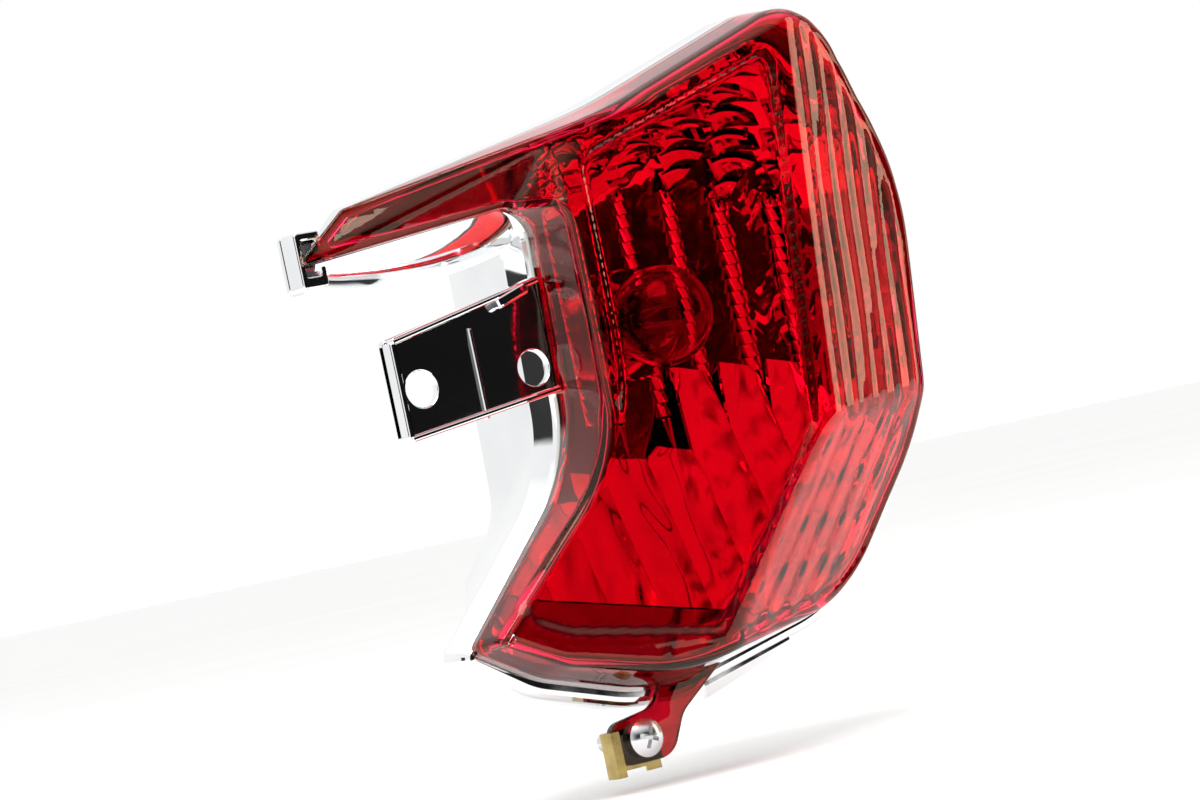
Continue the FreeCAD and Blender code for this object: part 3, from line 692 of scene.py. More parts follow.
def column_limits(x):
    """Lowest and highest z of the reflector at x."""
    crossings = []
    for start, end in zip(REFLECTOR_EDGE, np.roll(REFLECTOR_EDGE, -1, axis=0)):
        if (start[0] > x) != (end[0] > x):
            crossings.append(start[1] + (x - start[0]) * (end[1] - start[1]) / (end[0] - start[0]))
    return (min(crossings), max(crossings)) if crossings else (0.0, 0.0)


class Column:
    """One upright strip of the reflector: its sides, and its limits over the share across it."""

    def __init__(self, index):
        self.index = index
        self.left = COLUMN_START + index * COLUMN_PITCH
        self.right = min(self.left + COLUMN_PITCH, REFLECTOR_EDGE[:, 0].max() - 1.5) - COLUMN_GAP
        self.places = np.linspace(0.0, 1.0, 9)
        samples = [column_limits(self.at(0.02 + 0.96 * share)) for share in self.places]
        self.lows, self.highs = np.array(samples).T

    def at(self, s):
        return self.left + s * (self.right - self.left)

    def ground(self, s):
        return np.interp(s, self.places, self.lows)

    def roof(self, s):
        return np.interp(s, self.places, self.highs)

    def scales_end(self, s):
        """The slanting line where the scales give way to the panel."""
        strip = STRIP_WIDTH / COLUMN_PITCH
        return SPLIT_Z[self.index] + SLANT * np.clip((s - strip) / (1 - strip), 0, 1)


def tile(left, right, top, bottom, depth_at, across_count, down_count):
    """A closed tile; left and right are functions of z, top and bottom of the share across."""
    s, t = np.meshgrid(np.linspace(0, 1, across_count + 1), np.linspace(0, 1, down_count + 1))
    high = top(s)
    low = np.minimum(bottom(s), high - LEAST_HEIGHT)
    z = high + (low - high) * t
    x = left(z) + (right(z) - left(z)) * s
    width = across_count + 1
    size = width * (down_count + 1)
    front = np.stack([x.ravel(), depth_at(x, z, s).ravel(), z.ravel()], axis=1)
    back = front + np.array([0.0, TILE_THICKNESS, 0.0])
    centre_x = 0.25 * (x[:-1, :-1] + x[1:, :-1] + x[:-1, 1:] + x[1:, 1:])
    centre_z = 0.25 * (z[:-1, :-1] + z[1:, :-1] + z[:-1, 1:] + z[1:, 1:])
    kept = np.hypot(centre_x - BULB_X, centre_z - BULB_Z) > BULB_CLEARANCE
    faces = []
    for row, column in np.argwhere(kept):
        a = int(row * width + column)
        b = a + 1
        c = b + width
        d = a + width
        faces.append((a, d, c, b))
        faces.append((a + size, b + size, c + size, d + size))
        neighbours = [(row - 1, column, a, b), (row, column + 1, b, c),
                      (row + 1, column, c, d), (row, column - 1, d, a)]
        for near_row, near_column, p, q in neighbours:
            open_side = not (0 <= near_row < down_count and 0 <= near_column < across_count)
            if open_side or not kept[near_row, near_column]:
                faces.append((p, q, q + size, p + size))
    return front.tolist() + back.tolist(), faces


def constant(value):
    """A function that gives the same value at every place."""
    return lambda place: np.full(np.shape(place), value)


def bulge(s):
    """One in the middle of a tile, zero at its sides."""
    return 1 - (2 * s - 1) ** 2


def scale_row(column, high, low):
    """One fish-scale facet turned up to the light, with a thin crescent under it that faces the rear."""
    middle_z = 0.5 * (high + low)
    centre = flat_depth(0.5 * (column.left + column.right), middle_z)

    def hump(level, s):
        arch = np.sin(math.pi * np.clip(s * SCALE_SKEW, 0, 1))
        return np.minimum(level + SCALE_HUMP * arch, column.roof(s))

    def crescent_top(s):
        thickness = CRESCENT * np.sin(math.pi * np.clip(s, 0, 1)) ** 0.7 + LEAST_HEIGHT
        return np.minimum(hump(low, s) + thickness, column.roof(s))

    def depth(x, z, s):
        return centre + FACET_LEAN * (z - middle_z) - SCALE_BULGE * bulge(s)

    def crescent_depth(x, z, s):
        return depth(x, crescent_top(s), s) + 0.05

    sides = (constant(column.left), constant(column.right))
    return [
        tile(*sides, lambda s: hump(high, s), crescent_top, depth, 8, 4),
        tile(*sides, crescent_top, lambda s: hump(low, s), crescent_depth, 8, 2),
    ]


def clip_below(part, column):
    """Lift the lower part of a row's tiles to the slanting line where the scales end."""
    vertices, faces = part
    moved = []
    for x, y, z in vertices:
        share = (x - column.left) / (column.right - column.left)
        moved.append((x, y, max(z, float(column.scales_end(share)))))
    kept = []
    for face in faces:
        wide, deep, tall = np.ptp([moved[i] for i in face], axis=0)
        if tall >= 1e-6 or wide <= 1e-6 or deep > 1.0:
            kept.append(face)
    return moved, kept


def mid_panel(column):
    """A panel that faces straight to the rear and mirrors the dark room; outboard ones are rippled."""
    start = column.left + STRIP_WIDTH
    right = column.right
    ripple = RIPPLE * float(smooth_step(column.left, *RIPPLE_START))
    level = flat_depth(0.5 * (start + right), PANEL_Z) + PANEL_SINK

    def top(s):
        share = (STRIP_WIDTH + s * (right - start)) / (right - column.left)
        return np.minimum(column.scales_end(share), column.roof(share))

    def bottom(s):
        return np.maximum(PANEL_END_Z, column.ground(s) + PANEL_MARGIN)

    def depth(x, z, s):
        uneven = 0.6 + 0.4 * np.sin(z * 0.23 + column.index)
        waves = ripple * np.sin(z * 0.8 + 2.2 * np.sin(x * 0.6)) * uneven
        return level + waves + 0.05 * np.sin(z * 0.31 + x * 0.4 + column.index)

    return tile(constant(start), constant(right), top, bottom, depth, 10, 44)


def strip_facet(column, high, level):
    """One short step of a bright strip."""
    middle = high - 0.5 * STRIP_STEP

    def top(s):
        return np.minimum(high, column.roof(s * 0.2))

    def depth(x, z, s):
        return level + FACET_LEAN * (z - middle) - STRIP_BULGE * np.sin(math.pi * s)

    sides = (constant(column.left), constant(column.left + STRIP_WIDTH - 0.1))
    return tile(*sides, top, constant(high - STRIP_STEP), depth, 4, 2)


def bright_strip(column):
    """The narrow flute between two panels: short steps turned up towards the light."""
    level = flat_depth(column.left, PANEL_Z)
    parts = []
    high = SPLIT_Z[column.index] + 0.5
    while high > LOWER_TOP_Z - 8.0:
        low = high - STRIP_STEP
        if high <= column.roof(0.0) and low >= column.ground(0.0) + PANEL_MARGIN:
            parts.append(strip_facet(column, high, level))
        high = low
    return parts


def lower_end(x):
    """Height of the lower sheets' foot."""
    return LOWER_END_Z + LOWER_END_SLOPE * x


def lower_sheet(column):
    """The sloping lower bowl: bright, with soft upright flames, its top tapering to a point."""
    start = LOWER_STARTS[column.index]
    wedge = WEDGE_LENGTHS[column.index]

    def left_edge(z):
        return column.left + WEDGE_WIDTH * np.clip(1 - (start - z) / wedge, 0, 1)

    def top(s):
        return np.maximum(np.minimum(start - 2.5 * s, column.roof(s) - 0.4), column.ground(s) + 0.1)

    def bottom(s):
        return np.maximum(lower_end(column.at(s)), column.ground(s))

    def depth(x, z, s):
        slope = LOWER_DEPTH + FACET_LEAN * (z - LOWER_TOP_Z)
        drift = 0.35 * np.sin(z * 0.11 + 1.7 * column.index)
        uneven = 0.4 + 0.6 * np.sin(z * 0.21 + 2.3 * column.index) ** 2
        flames = FLAME_DEPTH * np.sin(2 * math.pi * (FLAMES * s + drift)) * uneven
        return slope + flames - LOWER_BULGE * bulge(s)

    return tile(left_edge, constant(column.right + 0.12), top, bottom, depth, 20, 48)


def foot_strip(column):
    """The plain band along the foot of the reflector."""

    def top(s):
        end = np.minimum(lower_end(column.at(s)) - 0.4, column.roof(s) - 0.4)
        return np.maximum(end, column.ground(s) + 0.1)

    def depth(x, z, s):
        end = lower_end(x)
        return LOWER_DEPTH + FACET_LEAN * (end - LOWER_TOP_Z) + FOOT_LEAN * (z - end)

    sides = (constant(column.left), constant(column.right + COLUMN_GAP))
    return tile(*sides, top, column.ground, depth, 4, 4)


def column_parts(index):
    """All the tiles of one column, from its scales down to its foot."""
    column = Column(index)
    parts = []
    high = SCALE_TOP_Z + SCALE_ROWS_ABOVE * ROW_HEIGHTS[index]
    while high > SPLIT_Z[index]:
        low = high - ROW_HEIGHTS[index]
        if low < column.highs.max():
            parts += [clip_below(scale, column) for scale in scale_row(column, high, low)]
        high = low
    parts.append(mid_panel(column))
    parts += bright_strip(column)
    return parts + [lower_sheet(column), foot_strip(column)]


def backing_sheet():
    """A plain dish behind the facets, open round the bulb."""
    hole = circle(BULB_X, BULB_Z, BACKING_HOLE, 1.44)
    grid = hex_grid(REFLECTOR_EDGE.min(axis=0), REFLECTOR_EDGE.max(axis=0), 3.0)
    away = np.hypot(grid[:, 0] - BULB_X, grid[:, 1] - BULB_Z) > BACKING_HOLE + 1.5
    grid = grid[away & (signed_depth_in(grid, REFLECTOR_EDGE) > 1.0)]
    loops = [REFLECTOR_EDGE, hole]
    triangles = triangulate(loops, grid, inside_but_not(REFLECTOR_EDGE, [hole]))
    points = np.concatenate(loops + [grid])
    front_y = reflector_base(points[:, 0], points[:, 1]) + BACKING_SINK
    vertices = []
    for thickness in (0.0, BACKING_THICKNESS):
        vertices += [(x, y + thickness, z) for (x, z), y in zip(points, front_y)]
    size = len(points)
    faces = [tuple(int(i) for i in tri) for tri in triangles]
    faces += [tuple(int(i) + size for i in reversed(tri)) for tri in triangles]
    faces += band(len(REFLECTOR_EDGE), 0, size) + band(len(hole), len(REFLECTOR_EDGE), size)
    return vertices, faces


def collar():
    """The ring round the bulb's hole."""
    vertices = []
    for step in range(COLLAR_STEPS):
        angle = 2 * math.pi * step / COLLAR_STEPS
        vertices += [(BULB_X + radius * math.cos(angle), y, BULB_Z + radius * math.sin(angle))
                     for radius, y in COLLAR_SECTION]
    size = len(COLLAR_SECTION)
    last = (COLLAR_STEPS - 1) * size
    return vertices, skin_of_rings(size, COLLAR_STEPS) + band(size, last, -last)


def kept_in_bowl(vertices):
    """Move points that would stand outside the bowl's sloping wall back to its inner face."""
    points = np.array(vertices)
    flat = points[:, [0, 2]]
    margin = WALL + 0.3
    in_front = signed_depth_in(flat, outline_loop(BOWL_FRONT_OUTLINE, 2.0)) - margin
    in_back = signed_depth_in(flat, outline_loop(BOWL_BACK_OUTLINE, 2.0)) - margin
    share = np.clip(in_front / np.maximum(in_front - in_back, 0.01), 0, 1)
    limit = np.where(in_back < 0, BOWL_START + (BOWL_BACK - BOWL_START) * share, BOWL_BACK)
    points[:, 1] = np.minimum(points[:, 1], limit)
    return points.tolist()


def make_reflector(material):
    parts = [part for index in range(COLUMNS) for part in column_parts(index)]
    vertices, faces = merged(parts + [backing_sheet(), collar()])
    return new_object("reflector_facets", kept_in_bowl(vertices), faces, material, SHELL, sharp_angle=35)


# ---------------------------------------------------------------- housing

RIM_START = 0.3            # the sealant bead fills the joint in front of this
RIM_DEPTH = 11.0
RIM_ROUNDING = 2.2
RIM_OUTLINE = [
    (-20.5, -64.5, 3.0),
    (-3.0, -76.0, 25.0),
    (30.0, -86.0, 50.0),
    (91.0, -72.5, 45.0),
] + LENS_OUTLINE[4:8] + [
    (-24.0, 45.1, 4.0),
    (-37.5, 33.0, 2.0),
] + LENS_OUTLINE[10:]
# how far each side of the rim stands further out at its front edge; the notch's wall leans most
RIM_FLARE = [0.5, 0.3, 0.3, 0.2, 0.0, 0.2, 0.5, 0.5, 0.3, 1.0, 3.2, 1.5]

BOWL_START = 10.0
BOWL_BACK = 42.0
BOWL_EDGE = 2.0
BOWL_BACK_OUTLINE = [
    (6.0, -50.0, 5.0),
    (14.0, -54.0, 8.0),
    (36.0, -56.0, 12.0),
    (66.0, -50.0, 14.0),
    (84.0, -28.0, 14.0),
    (90.0, 18.0, 14.0),
    (82.0, 44.0, 10.0),
    (22.5, 40.0, 10.0),
    (20.5, -33.0, 20.0),
]
HOLDER_HOLE = 13.2
HOLDER_BOSS = 19.0

ARM_LEFT = -36.0
ARM_RIGHT = 23.0
ARM_SECTIONS = 40
ARM_LOW_X = -8.0           # the arm's underside is lowest here and curves up to both ends
ARM_LOW_Z = 25.2
ARM_CURVES = (0.0025, 0.0046)
ARM_SEAT_Z = 32.956        # height of the wing's seat at ARM_LEFT, and its slope
ARM_SEAT_SLOPE = 0.104
ARM_HEIGHT = 6.0
ARM_TOP_Z = 44.0
ROLL_BEGIN = math.radians(25.0)  # the arm's front already leans this much where it leaves the lens
ROLL_DEPTH = 10.0
END_CAP = [(-39.8, 27.5, 1.0), (-33.0, 27.5, 1.0), (-33.0, 41.0, 1.0), (-39.8, 41.0, 1.0)]
END_POCKET = [(-38.4, 30.5, 0.6), (-34.5, 30.5, 0.6), (-34.5, 38.8, 0.6), (-38.4, 38.8, 0.6)]

HOLE_SPACING = 31.2
HOLE_RADIUS = 4.3
BRACKET_THICKNESS = 2.5
BRACKET_RIM = 3.5
BRACKET_RIM_WIDTH = 1.6
BRACKET_OUTLINE = [
    (-23.5, -12.0, 1.5),
    (21.0, -6.8, 0.5),
    (21.0, 21.3, 0.5),
    (-23.5, 12.6, 1.5),
]
# the shallow gusset between the bracket's floor and its upper rim
GUSSET_POINTS = [
    (-20.0, 0.0, 12.0),
    (1.0, -0.45, 13.4),
    (20.0, 0.0, 20.2),
    (20.0, 0.0, 6.5),
    (20.0, -0.8, 15.6),
    (1.0, 0.05, 7.5),
    (20.0, 1.0, 15.0),
]
GUSSET_FACES = [
    (0, 1, 5), (1, 4, 3), (1, 3, 5), (0, 2, 4), (0, 4, 1),
    (2, 6, 4), (4, 6, 3), (3, 6, 5), (5, 6, 0), (0, 6, 2),
]
# for each lip: how far it stands out, and the ranges of x, y and z it fills
FOOT_LIP = (3.5, (44.0, 72.0), (1.0, 4.0), (-90.0, -60.0))
SIDE_LIP = (2.5, (100.0, 125.0), (2.0, 5.0), (-52.0, -35.5))


def between(start, end, share):
    return start + (end - start) * share


def bowl_skin(rings, hole):
    """A wall through (loop, y) rings and the floor at its end, open at the holder's hole."""
    floor, floor_y = rings[-1]
    vertices = [(x, y, z) for loop, y in rings for x, z in loop]
    vertices += [(x, floor_y, z) for x, z in hole]
    size = len(floor)
    faces = skin_of_rings(size, len(rings))
    last = (len(rings) - 1) * size
    triangles = triangulate([floor, hole], NO_POINTS, inside_but_not(floor, [hole]))
    faces += [tuple(int(last + t) for t in triangle) for triangle in triangles]
    return vertices, faces


def bowl_part():
    """The hollow behind the rim: sloping walls, a rounded back edge and a back wall with a hole."""
    front, back = matched_loops(BOWL_FRONT_OUTLINE, BOWL_BACK_OUTLINE)
    normals = inward_normals(back)
    outer_rings = [(between(front, back, share), between(BOWL_START, BOWL_BACK, share))
                   for share in (0.0, 0.25, 0.5, 0.75, 0.92)]
    for angle in range(30, 91, 30):
        turn = math.radians(angle)
        ring = back + normals * (BOWL_EDGE * (1 - math.cos(turn)))
        outer_rings.append((ring, BOWL_BACK - BOWL_EDGE * (1 - math.sin(turn))))
    inner_front = front + inward_normals(front) * WALL
    inner_back = back + normals * WALL
    inner_rings = [(between(inner_front, inner_back, share), between(BOWL_START, BOWL_BACK - WALL, share))
                   for share in (0.0, 0.33, 0.66, 1.0)]
    hole = circle(BULB_X, BULB_Z, HOLDER_HOLE)
    outer = bowl_skin(outer_rings, hole)
    inner = bowl_skin(inner_rings, hole)
    vertices, faces = merged([outer, inner])
    size = len(front)
    outer_count = len(outer[0])
    faces += band(size, 0, outer_count)
    faces += band(len(hole), outer_count - len(hole), len(inner[0]))
    return vertices, faces


def arm_section(x):
    """The arm's outline at x, from the lens's seat round its rolled front to its top: (y, z) points."""
    curve = ARM_CURVES[0] if x < ARM_LOW_X else ARM_CURVES[1]
    low = ARM_LOW_Z + curve * (x - ARM_LOW_X) ** 2
    seat = ARM_SEAT_Z + (x - ARM_LEFT) * ARM_SEAT_SLOPE
    top = min(seat + ARM_HEIGHT, ARM_TOP_Z)
    section = []
    for turn in np.linspace(ROLL_BEGIN, math.pi / 2, 12):
        back = 1 - math.cos(turn) / math.cos(ROLL_BEGIN)
        down = (math.sin(turn) - math.sin(ROLL_BEGIN)) / (1 - math.sin(ROLL_BEGIN))
        section.append((1.0 + ROLL_DEPTH * back, seat - (seat - low) * down))
    return section + [(14.0, low + 0.1), (16.2, low + 0.9), (17.0, low + 2.4), (17.0, top - 2.0),
                      (15.5, top), (4.0, top), (1.0, top - 1.0)]


def arm_part():
    """The rolled arm below and behind the wing."""
    places = np.linspace(ARM_LEFT, ARM_RIGHT, ARM_SECTIONS)
    return capped_loft([[(x, y, z) for y, z in arm_section(x)] for x in places])


def bar(start, end, width, low_y, high_y, radius=0.55):
    """A straight rounded bar between two (x, z) points."""
    start = np.array(start)
    end = np.array(end)
    along = (end - start) / np.linalg.norm(end - start)
    side = np.array([-along[1], along[0]]) * 0.5 * width
    corners = [start - side, end - side, end + side, start + side]
    loop = outline_loop([(x, z, 0.35 * width) for x, z in corners], 0.3)
    return rounded_plate(loop, [], low_y, high_y, radius)


def bracket_parts():
    """The bracket's floor with its two holes, its raised rim, middle rib, tie to the wall and gusset."""
    holes = [circle(x, 0.0, HOLE_RADIUS, 0.5) for x in (-HOLE_SPACING / 2, HOLE_SPACING / 2)]
    parts = [rounded_plate(outline_loop(BRACKET_OUTLINE), holes, 0.0, BRACKET_THICKNESS, 0.35)]
    inset = 0.5 * BRACKET_RIM_WIDTH
    insets = [(inset, inset), (-1.0, inset), (-1.0, -inset), (inset, -inset)]
    corners = [np.array(corner[:2]) + shift for corner, shift in zip(BRACKET_OUTLINE, insets)]
    for start, end in ((0, 1), (2, 3), (3, 0)):
        ends = (corners[start], corners[end])
        parts.append(bar(*ends, BRACKET_RIM_WIDTH, -BRACKET_RIM, BRACKET_THICKNESS))
    parts.append(bar((0.0, -10.0), (0.0, 12.0), 1.0, -1.0, 0.5, 0.4))
    parts.append(bar((7.5, 16.3), (16.5, 19.2), 3.0, -BRACKET_RIM - 0.2, 0.5, 0.7))
    return parts + [(GUSSET_POINTS, GUSSET_FACES)]


def lip_part(reach, x_range, y_range, z_range):
    """A sloping lip that follows the rim's outline within a box and thins out towards +X."""
    loop = outline_loop(RIM_OUTLINE, 1.0)
    normals = inward_normals(loop)
    low_y, high_y = y_range
    rings = []
    for (x, z), (normal_x, normal_z) in zip(loop, normals):
        if not (x_range[0] < x < x_range[1] and z_range[0] < z < z_range[1]):
            continue
        out = reach * math.sqrt((x_range[1] - x) / (x_range[1] - x_range[0]))
        section = [(-1.5, low_y), (0.1 * out, low_y), (out, low_y + 0.45 * out),
                   (out, high_y), (-1.5, high_y)]
        rings.append([(x - normal_x * outward, y, z - normal_z * outward) for outward, y in section])
    return capped_loft(rings)


def make_sealant(material):
    """The bead squeezed out under the lens's edge, as wide as the rim."""
    outer = outline_loop(inset_corners(LENS_OUTLINE, 0.25))
    inner = outline_loop(inset_corners(LENS_OUTLINE, 3.2))
    vertices, faces = rounded_plate(outer, [inner], 0.02, 0.9, 0.15)
    return new_object("sealant_bead", vertices, faces, material, SHELL, sharp_angle=40)


def make_housing(material):
    loop, flare = sample_outline(RIM_OUTLINE, CURVE_STEP, RIM_FLARE)
    hole = outline_loop(inset_corners(BOWL_FRONT_OUTLINE, WALL))
    boss = circle(BULB_X, BULB_Z, HOLDER_BOSS)
    boss_hole = circle(BULB_X, BULB_Z, HOLDER_HOLE)
    cap = outline_loop(END_CAP, 0.4)
    parts = [
        rounded_plate(loop, [hole], RIM_START, RIM_DEPTH, RIM_ROUNDING, flare),
        bowl_part(),
        arm_part(),
        rounded_plate(cap, [outline_loop(END_POCKET, 0.4)], 1.5, 8.5, 0.5),
        rounded_plate(cap, [], 8.0, 10.5, 0.7),
        rounded_plate(boss, [boss_hole], BOWL_BACK - 1.0, BOWL_BACK + 2.0, 0.4),
        lip_part(*FOOT_LIP),
        lip_part(*SIDE_LIP),
    ]
    vertices, faces = merged(parts + bracket_parts())
    return new_object("housing_shell", vertices, faces, material, SHELL, sharp_angle=12)


# ---------------------------------------------------------------- contact spring

SPRING_WIRE = 0.4          # radius of the wire
SPRING_TURNS = 3
SPRING_STEPS = 40          # points to a turn
WIRE_SIDES = 10
ALONG_BULB = np.array([0.0, 1.0, 0.0])


def make_spring(material):
    """A round-wire coil between the socket's floor and the contact carrier, which the bulb pushes in."""
    low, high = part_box("contact_spring")
    middle = (np.array(low) + np.array(high)) / (2 * MM)
    start = low[1] / MM + SPRING_WIRE
    end = high[1] / MM - SPRING_WIRE
    radius = 0.5 * (high[0] - low[0]) / MM - SPRING_WIRE
    count = SPRING_TURNS * SPRING_STEPS
    rings = []
    for step in range(count + 1):
        angle = 2 * math.pi * step / SPRING_STEPS
        y = start + (end - start) * smooth_step(step / count, 0.08, 0.92)
        outward = np.array([math.cos(angle), 0.0, math.sin(angle)])
        centre = np.array([middle[0], y, middle[2]]) + outward * radius
        ring = []
        for side in range(WIRE_SIDES):
            turn = 2 * math.pi * side / WIRE_SIDES
            ring.append(centre + (outward * math.cos(turn) + ALONG_BULB * math.sin(turn)) * SPRING_WIRE)
        rings.append(ring)
    vertices, faces = capped_loft(rings)
    spring = new_object("contact_coil", vertices, faces, material, "bulb_holder")
    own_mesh(spring)
    return spring


# ---------------------------------------------------------------- materials

# per metal: dark and light tone, lowest and highest roughness
METALS = {
    "yellow_zinc": ((0.26, 0.17, 0.04), (0.56, 0.44, 0.18), 0.12, 0.35),
    "bright_zinc": ((0.62, 0.63, 0.65), (0.82, 0.82, 0.83), 0.12, 0.3),
    "plated_brass": ((0.60, 0.56, 0.44), (0.78, 0.74, 0.60), 0.15, 0.35),
    "brass": ((0.62, 0.44, 0.16), (0.80, 0.62, 0.28), 0.15, 0.35),
    "spring_steel": ((0.35, 0.35, 0.36), (0.55, 0.55, 0.56), 0.2, 0.4),
    "solder": ((0.45, 0.45, 0.46), (0.62, 0.62, 0.64), 0.25, 0.5),
    "tungsten": ((0.16, 0.16, 0.17), (0.30, 0.30, 0.32), 0.3, 0.5),
}
# the same for plastics, rubber, board and sealant
DULLS = {
    "sealant": ((0.44, 0.36, 0.25), (0.56, 0.47, 0.34), 0.6, 0.8),
    "holder_plastic": ((0.02, 0.02, 0.022), (0.05, 0.05, 0.055), 0.4, 0.6),
    "gasket_rubber": ((0.01, 0.01, 0.01), (0.025, 0.025, 0.025), 0.7, 0.9),
    "carrier_board": ((0.20, 0.09, 0.03), (0.34, 0.17, 0.07), 0.5, 0.7),
    "base_insulator": ((0.015, 0.012, 0.012), (0.04, 0.03, 0.03), 0.15, 0.3),
}
TAB_TONE_Z = (-0.080, -0.074)  # the lens's thick tab is darker; its tone ends between these heights


def node_material(name):
    material = bpy.data.materials.new(name)
    material.use_nodes = True
    tree = material.node_tree
    return material, tree, tree.nodes["Principled BSDF"]


def object_coordinates(tree):
    return tree.nodes.new("ShaderNodeTexCoord").outputs["Object"]


def noise(tree, scale, detail=3.0):
    node = tree.nodes.new("ShaderNodeTexNoise")
    tree.links.new(object_coordinates(tree), node.inputs["Vector"])
    node.inputs["Scale"].default_value = scale
    node.inputs["Detail"].default_value = detail
    return node.outputs["Fac"]


def grey(value):
    return (value, value, value)


def ramp(tree, factor, stops):
    """Colours over a factor: stops are (place, colour)."""
    node = tree.nodes.new("ShaderNodeValToRGB")
    elements = node.color_ramp.elements
    while len(elements) < len(stops):
        elements.new(0.5)
    for element, (place, colour) in zip(elements, stops):
        element.position = place
        element.color = (*colour, 1)
    tree.links.new(factor, node.inputs["Fac"])
    return node.outputs["Color"]


def vary(tree, shader, socket, scale, low, high, detail=3.0, places=(0.3, 0.7)):
    """Let one of a shader's inputs wander between two colours or greys with noise."""
    stops = list(zip(places, (low, high)))
    tree.links.new(ramp(tree, noise(tree, scale, detail), stops), shader.inputs[socket])


def relief(tree, shader, scale, detail, strength, distance):
    """Fine unevenness of the surface."""
    node = tree.nodes.new("ShaderNodeBump")
    node.inputs["Strength"].default_value = strength
    node.inputs["Distance"].default_value = distance
    tree.links.new(noise(tree, scale, detail), node.inputs["Height"])
    tree.links.new(node.outputs["Normal"], shader.inputs["Normal"])


def mixed(tree, blend, first, second):
    node = tree.nodes.new("ShaderNodeMix")
    node.data_type = "RGBA"
    node.blend_type = blend
    node.clamp_result = False
    node.inputs["Factor"].default_value = 1.0
    tree.links.new(first, node.inputs[6])
    tree.links.new(second, node.inputs[7])
    return node.outputs[2]


def red_lens_material():
    """Clear red acrylic with a warm sheen, darker in its thick tab."""
    material, tree, shader = node_material("red_lens")
    clear = ramp(tree, noise(tree, 14.0), [(0.3, (0.84, 0.012, 0.07)), (0.7, (0.90, 0.018, 0.09))])
    position = tree.nodes.new("ShaderNodeSeparateXYZ")
    tree.links.new(object_coordinates(tree), position.inputs[0])
    height = tree.nodes.new("ShaderNodeMapRange")
    height.inputs["From Min"].default_value, height.inputs["From Max"].default_value = TAB_TONE_Z
    tree.links.new(position.outputs["Z"], height.inputs["Value"])
    tone = ramp(tree, height.outputs["Result"], [(0.0, (0.42, 0.16, 0.14)), (1.0, grey(1.0))])
    tree.links.new(mixed(tree, "MULTIPLY", clear, tone), shader.inputs["Base Color"])
    shader.inputs["Transmission Weight"].default_value = 1.0
    shader.inputs["IOR"].default_value = 1.49
    shader.inputs["Specular Tint"].default_value = (1.0, 0.80, 0.58, 1.0)
    vary(tree, shader, "Roughness", 60.0, grey(0.01), grey(0.03), places=(0.35, 0.75))
    relief(tree, shader, 25.0, 1.0, 0.15, 0.0004)
    return material


def mirror_material():
    """Vacuum-metallised plastic: bright, with faint orange peel and dust."""
    material, tree, shader = node_material("metallised_plastic")
    shader.inputs["Metallic"].default_value = 1.0
    vary(tree, shader, "Base Color", 30.0, (0.80, 0.81, 0.82), (0.92, 0.925, 0.93))
    vary(tree, shader, "Roughness", 90.0, grey(0.03), grey(0.12), 5.0, (0.35, 0.8))
    relief(tree, shader, 120.0, 2.0, 0.12, 0.0003)
    return material


def metal_material(name, dark, light, rough_low, rough_high):
    """Worked metal with fine tarnish."""
    material, tree, shader = node_material(name)
    shader.inputs["Metallic"].default_value = 1.0
    vary(tree, shader, "Base Color", 80.0, dark, light)
    vary(tree, shader, "Roughness", 200.0, grey(rough_low), grey(rough_high), 4.0, (0.3, 0.75))
    relief(tree, shader, 400.0, 2.0, 0.15, 0.0002)
    return material


def dull_material(name, dark, light, rough_low, rough_high):
    """Plastic or rubber with a fine grain."""
    material, tree, shader = node_material(name)
    vary(tree, shader, "Base Color", 80.0, dark, light)
    vary(tree, shader, "Roughness", 200.0, grey(rough_low), grey(rough_high), places=(0.3, 0.75))
    relief(tree, shader, 400.0, 3.0, 0.3, 0.0003)
    return material


def clear_glass_material():
    """The bulb's glass, with a trace of haze."""
    material, tree, shader = node_material("bulb_glass")
    shader.inputs["Transmission Weight"].default_value = 1.0
    shader.inputs["IOR"].default_value = 1.47
    vary(tree, shader, "Base Color", 40.0, (0.97, 0.98, 0.98), grey(1.0))
    vary(tree, shader, "Roughness", 80.0, grey(0.0), grey(0.03), places=(0.4, 0.8))
    return material


MATERIALS = {
    "red_lens": red_lens_material(),
    "metallised_plastic": mirror_material(),
    "bulb_glass": clear_glass_material(),
}
MATERIALS.update({name: metal_material(name, *look) for name, look in METALS.items()})
MATERIALS.update({name: dull_material(name, *look) for name, look in DULLS.items()})


def dress_frame():
    """Every CAD node takes the material of its slot."""
    for part in frame["record"]["subparts"]:
        obj = frame["nodes"][part["node"]]
        obj.data.materials.clear()
        obj.data.materials.append(MATERIALS[part["material_slot"]])


# ---------------------------------------------------------------- studio, in metres

CAMERA_AZIMUTH = -31.0
CAMERA_ELEVATION = -2.0
CAMERA_ROLL = 12.0
CAMERA_DISTANCE = 1.0
CAMERA_LENS = 127.5
AIM_RIGHT = 0.0286
AIM_UP = -0.0051

FLOOR_GAP = 0.004          # below the lamp
FLOOR_HALF = 40.0
FLOOR_FRONT = -0.36


def camera_axes():
    """The camera's axes: backwards, to its right and upwards, with its roll."""
    azimuth = math.radians(CAMERA_AZIMUTH)
    elevation = math.radians(CAMERA_ELEVATION)
    roll = math.radians(CAMERA_ROLL)
    flat = math.cos(elevation)
    back = Vector((math.sin(azimuth) * flat, -math.cos(azimuth) * flat, math.sin(elevation)))
    level = Vector((math.cos(azimuth), math.sin(azimuth), 0))
    upright = back.cross(level)
    right = level * math.cos(roll) - upright * math.sin(roll)
    up = level * math.sin(roll) + upright * math.cos(roll)
    return back, right, up


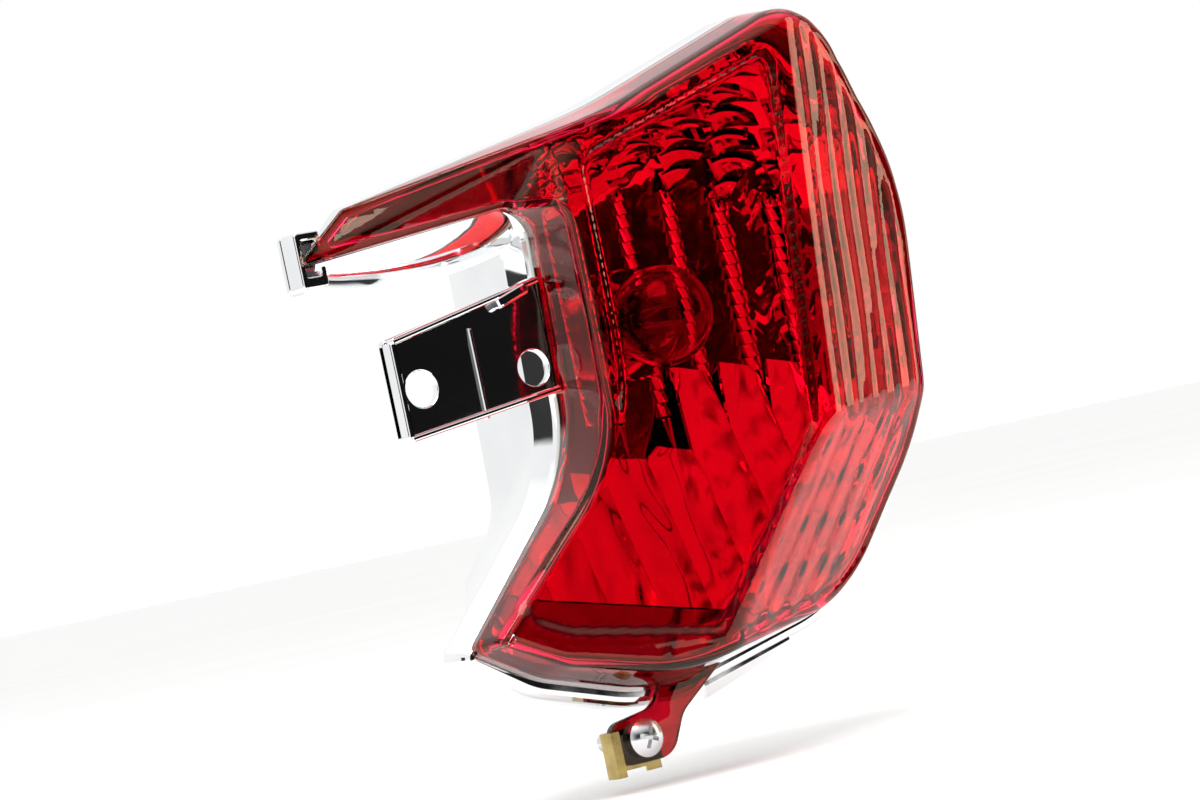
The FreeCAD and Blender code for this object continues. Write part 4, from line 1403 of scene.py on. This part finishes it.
def make_camera():
    back, right, up = camera_axes()
    eye = back * CAMERA_DISTANCE
    aim = right * AIM_RIGHT + up * AIM_UP
    data = bpy.data.cameras.new("camera")
    data.lens = CAMERA_LENS
    data.sensor_width = 36.0
    camera = bpy.data.objects.new("camera", data)
    bpy.context.scene.collection.objects.link(camera)
    towards = (eye - aim).normalized()
    across_view = up.cross(towards).normalized()
    upwards = towards.cross(across_view)
    matrix = Matrix((across_view, upwards, towards)).transposed().to_4x4()
    matrix.translation = eye
    camera.matrix_world = matrix
    bpy.context.scene.camera = camera


def make_floor():
    """A pale floor that starts beside the lamp and runs out of view behind it."""
    z = CAD_BOUNDS[0][2] - FLOOR_GAP
    corners = [(-FLOOR_HALF, FLOOR_FRONT, z), (FLOOR_HALF, FLOOR_FRONT, z),
               (FLOOR_HALF, FLOOR_HALF, z), (-FLOOR_HALF, FLOOR_HALF, z)]
    mesh = bpy.data.meshes.new("floor")
    mesh.from_pydata(corners, [], [(0, 1, 2, 3)])
    floor = bpy.data.objects.new("floor", mesh)
    bpy.context.scene.collection.objects.link(floor)
    material, tree, shader = node_material("floor_paper")
    vary(tree, shader, "Base Color", 3.0, grey(0.93), grey(0.96))
    shader.inputs["Roughness"].default_value = 0.8
    mesh.materials.append(material)


def area_light(name, place, target, size, power, colour=(1.0, 1.0, 1.0)):
    data = bpy.data.lights.new(name, "AREA")
    data.shape = "RECTANGLE"
    data.size, data.size_y = size
    data.energy = power
    data.color = colour
    light = bpy.data.objects.new(name, data)
    light.location = place
    light.rotation_euler = (Vector(target) - Vector(place)).to_track_quat("-Z", "Y").to_euler()
    bpy.context.scene.collection.objects.link(light)


def facing(tree, coordinates, direction):
    """How nearly a direction of the world points the given way: 1 along it, 0 square to it."""
    dot = tree.nodes.new("ShaderNodeVectorMath")
    dot.operation = "DOT_PRODUCT"
    tree.links.new(coordinates, dot.inputs[0])
    dot.inputs[1].default_value = Vector(direction).normalized()
    return dot.outputs["Value"]


def make_world():
    """A white room: a low dark wall behind the camera, a tan curtain outboard, a dark card inboard."""
    world = bpy.data.worlds.new("studio")
    bpy.context.scene.world = world
    world.use_nodes = True
    tree = world.node_tree
    background = tree.nodes["Background"]
    coordinates = tree.nodes.new("ShaderNodeTexCoord").outputs["Generated"]
    wall = ramp(tree, facing(tree, coordinates, (0.40, -0.91, 0.0)), [
        (0.25, grey(1.0)), (0.45, grey(0.6)), (0.62, grey(0.05)), (0.80, grey(0.008))])
    above = ramp(tree, facing(tree, coordinates, (0.0, 0.0, 1.0)), [
        (0.30, grey(0.0)), (0.42, grey(0.5)), (0.60, grey(1.15))])
    card = ramp(tree, facing(tree, coordinates, (-0.90, 0.43, 0.05)), [
        (0.930, grey(1.0)), (0.955, grey(0.04))])
    curtain = ramp(tree, facing(tree, coordinates, (0.99, -0.08, 0.02)), [
        (0.70, grey(1.0)), (0.90, (0.50, 0.42, 0.32))])
    room = mixed(tree, "LIGHTEN", wall, above)
    room = mixed(tree, "MULTIPLY", room, curtain)
    tree.links.new(mixed(tree, "MULTIPLY", room, card), background.inputs["Color"])
    background.inputs["Strength"].default_value = 1.0


def make_lights():
    area_light("key", (-0.3, -0.5, 1.2), (0.04, 0, 0), (0.9, 0.9), 14.0)
    area_light("side", (1.2, -0.3, 0.12), (0.06, 0, 0), (0.25, 0.9), 2.4, (1.0, 0.84, 0.64))


# ---------------------------------------------------------------- the scene

dress_frame()
lens = make_lens(MATERIALS["red_lens"])
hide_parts("lens")
housing = make_housing(MATERIALS["metallised_plastic"])
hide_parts("reflector_housing")
spring = make_spring(MATERIALS["spring_steel"])
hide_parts("contact_spring")
sealant = make_sealant(MATERIALS["sealant"])
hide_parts("lens_seal")
reflector = make_reflector(MATERIALS["metallised_plastic"])

make_floor()
make_world()
make_lights()
make_camera()
bpy.context.scene.view_settings.view_transform = "Standard"
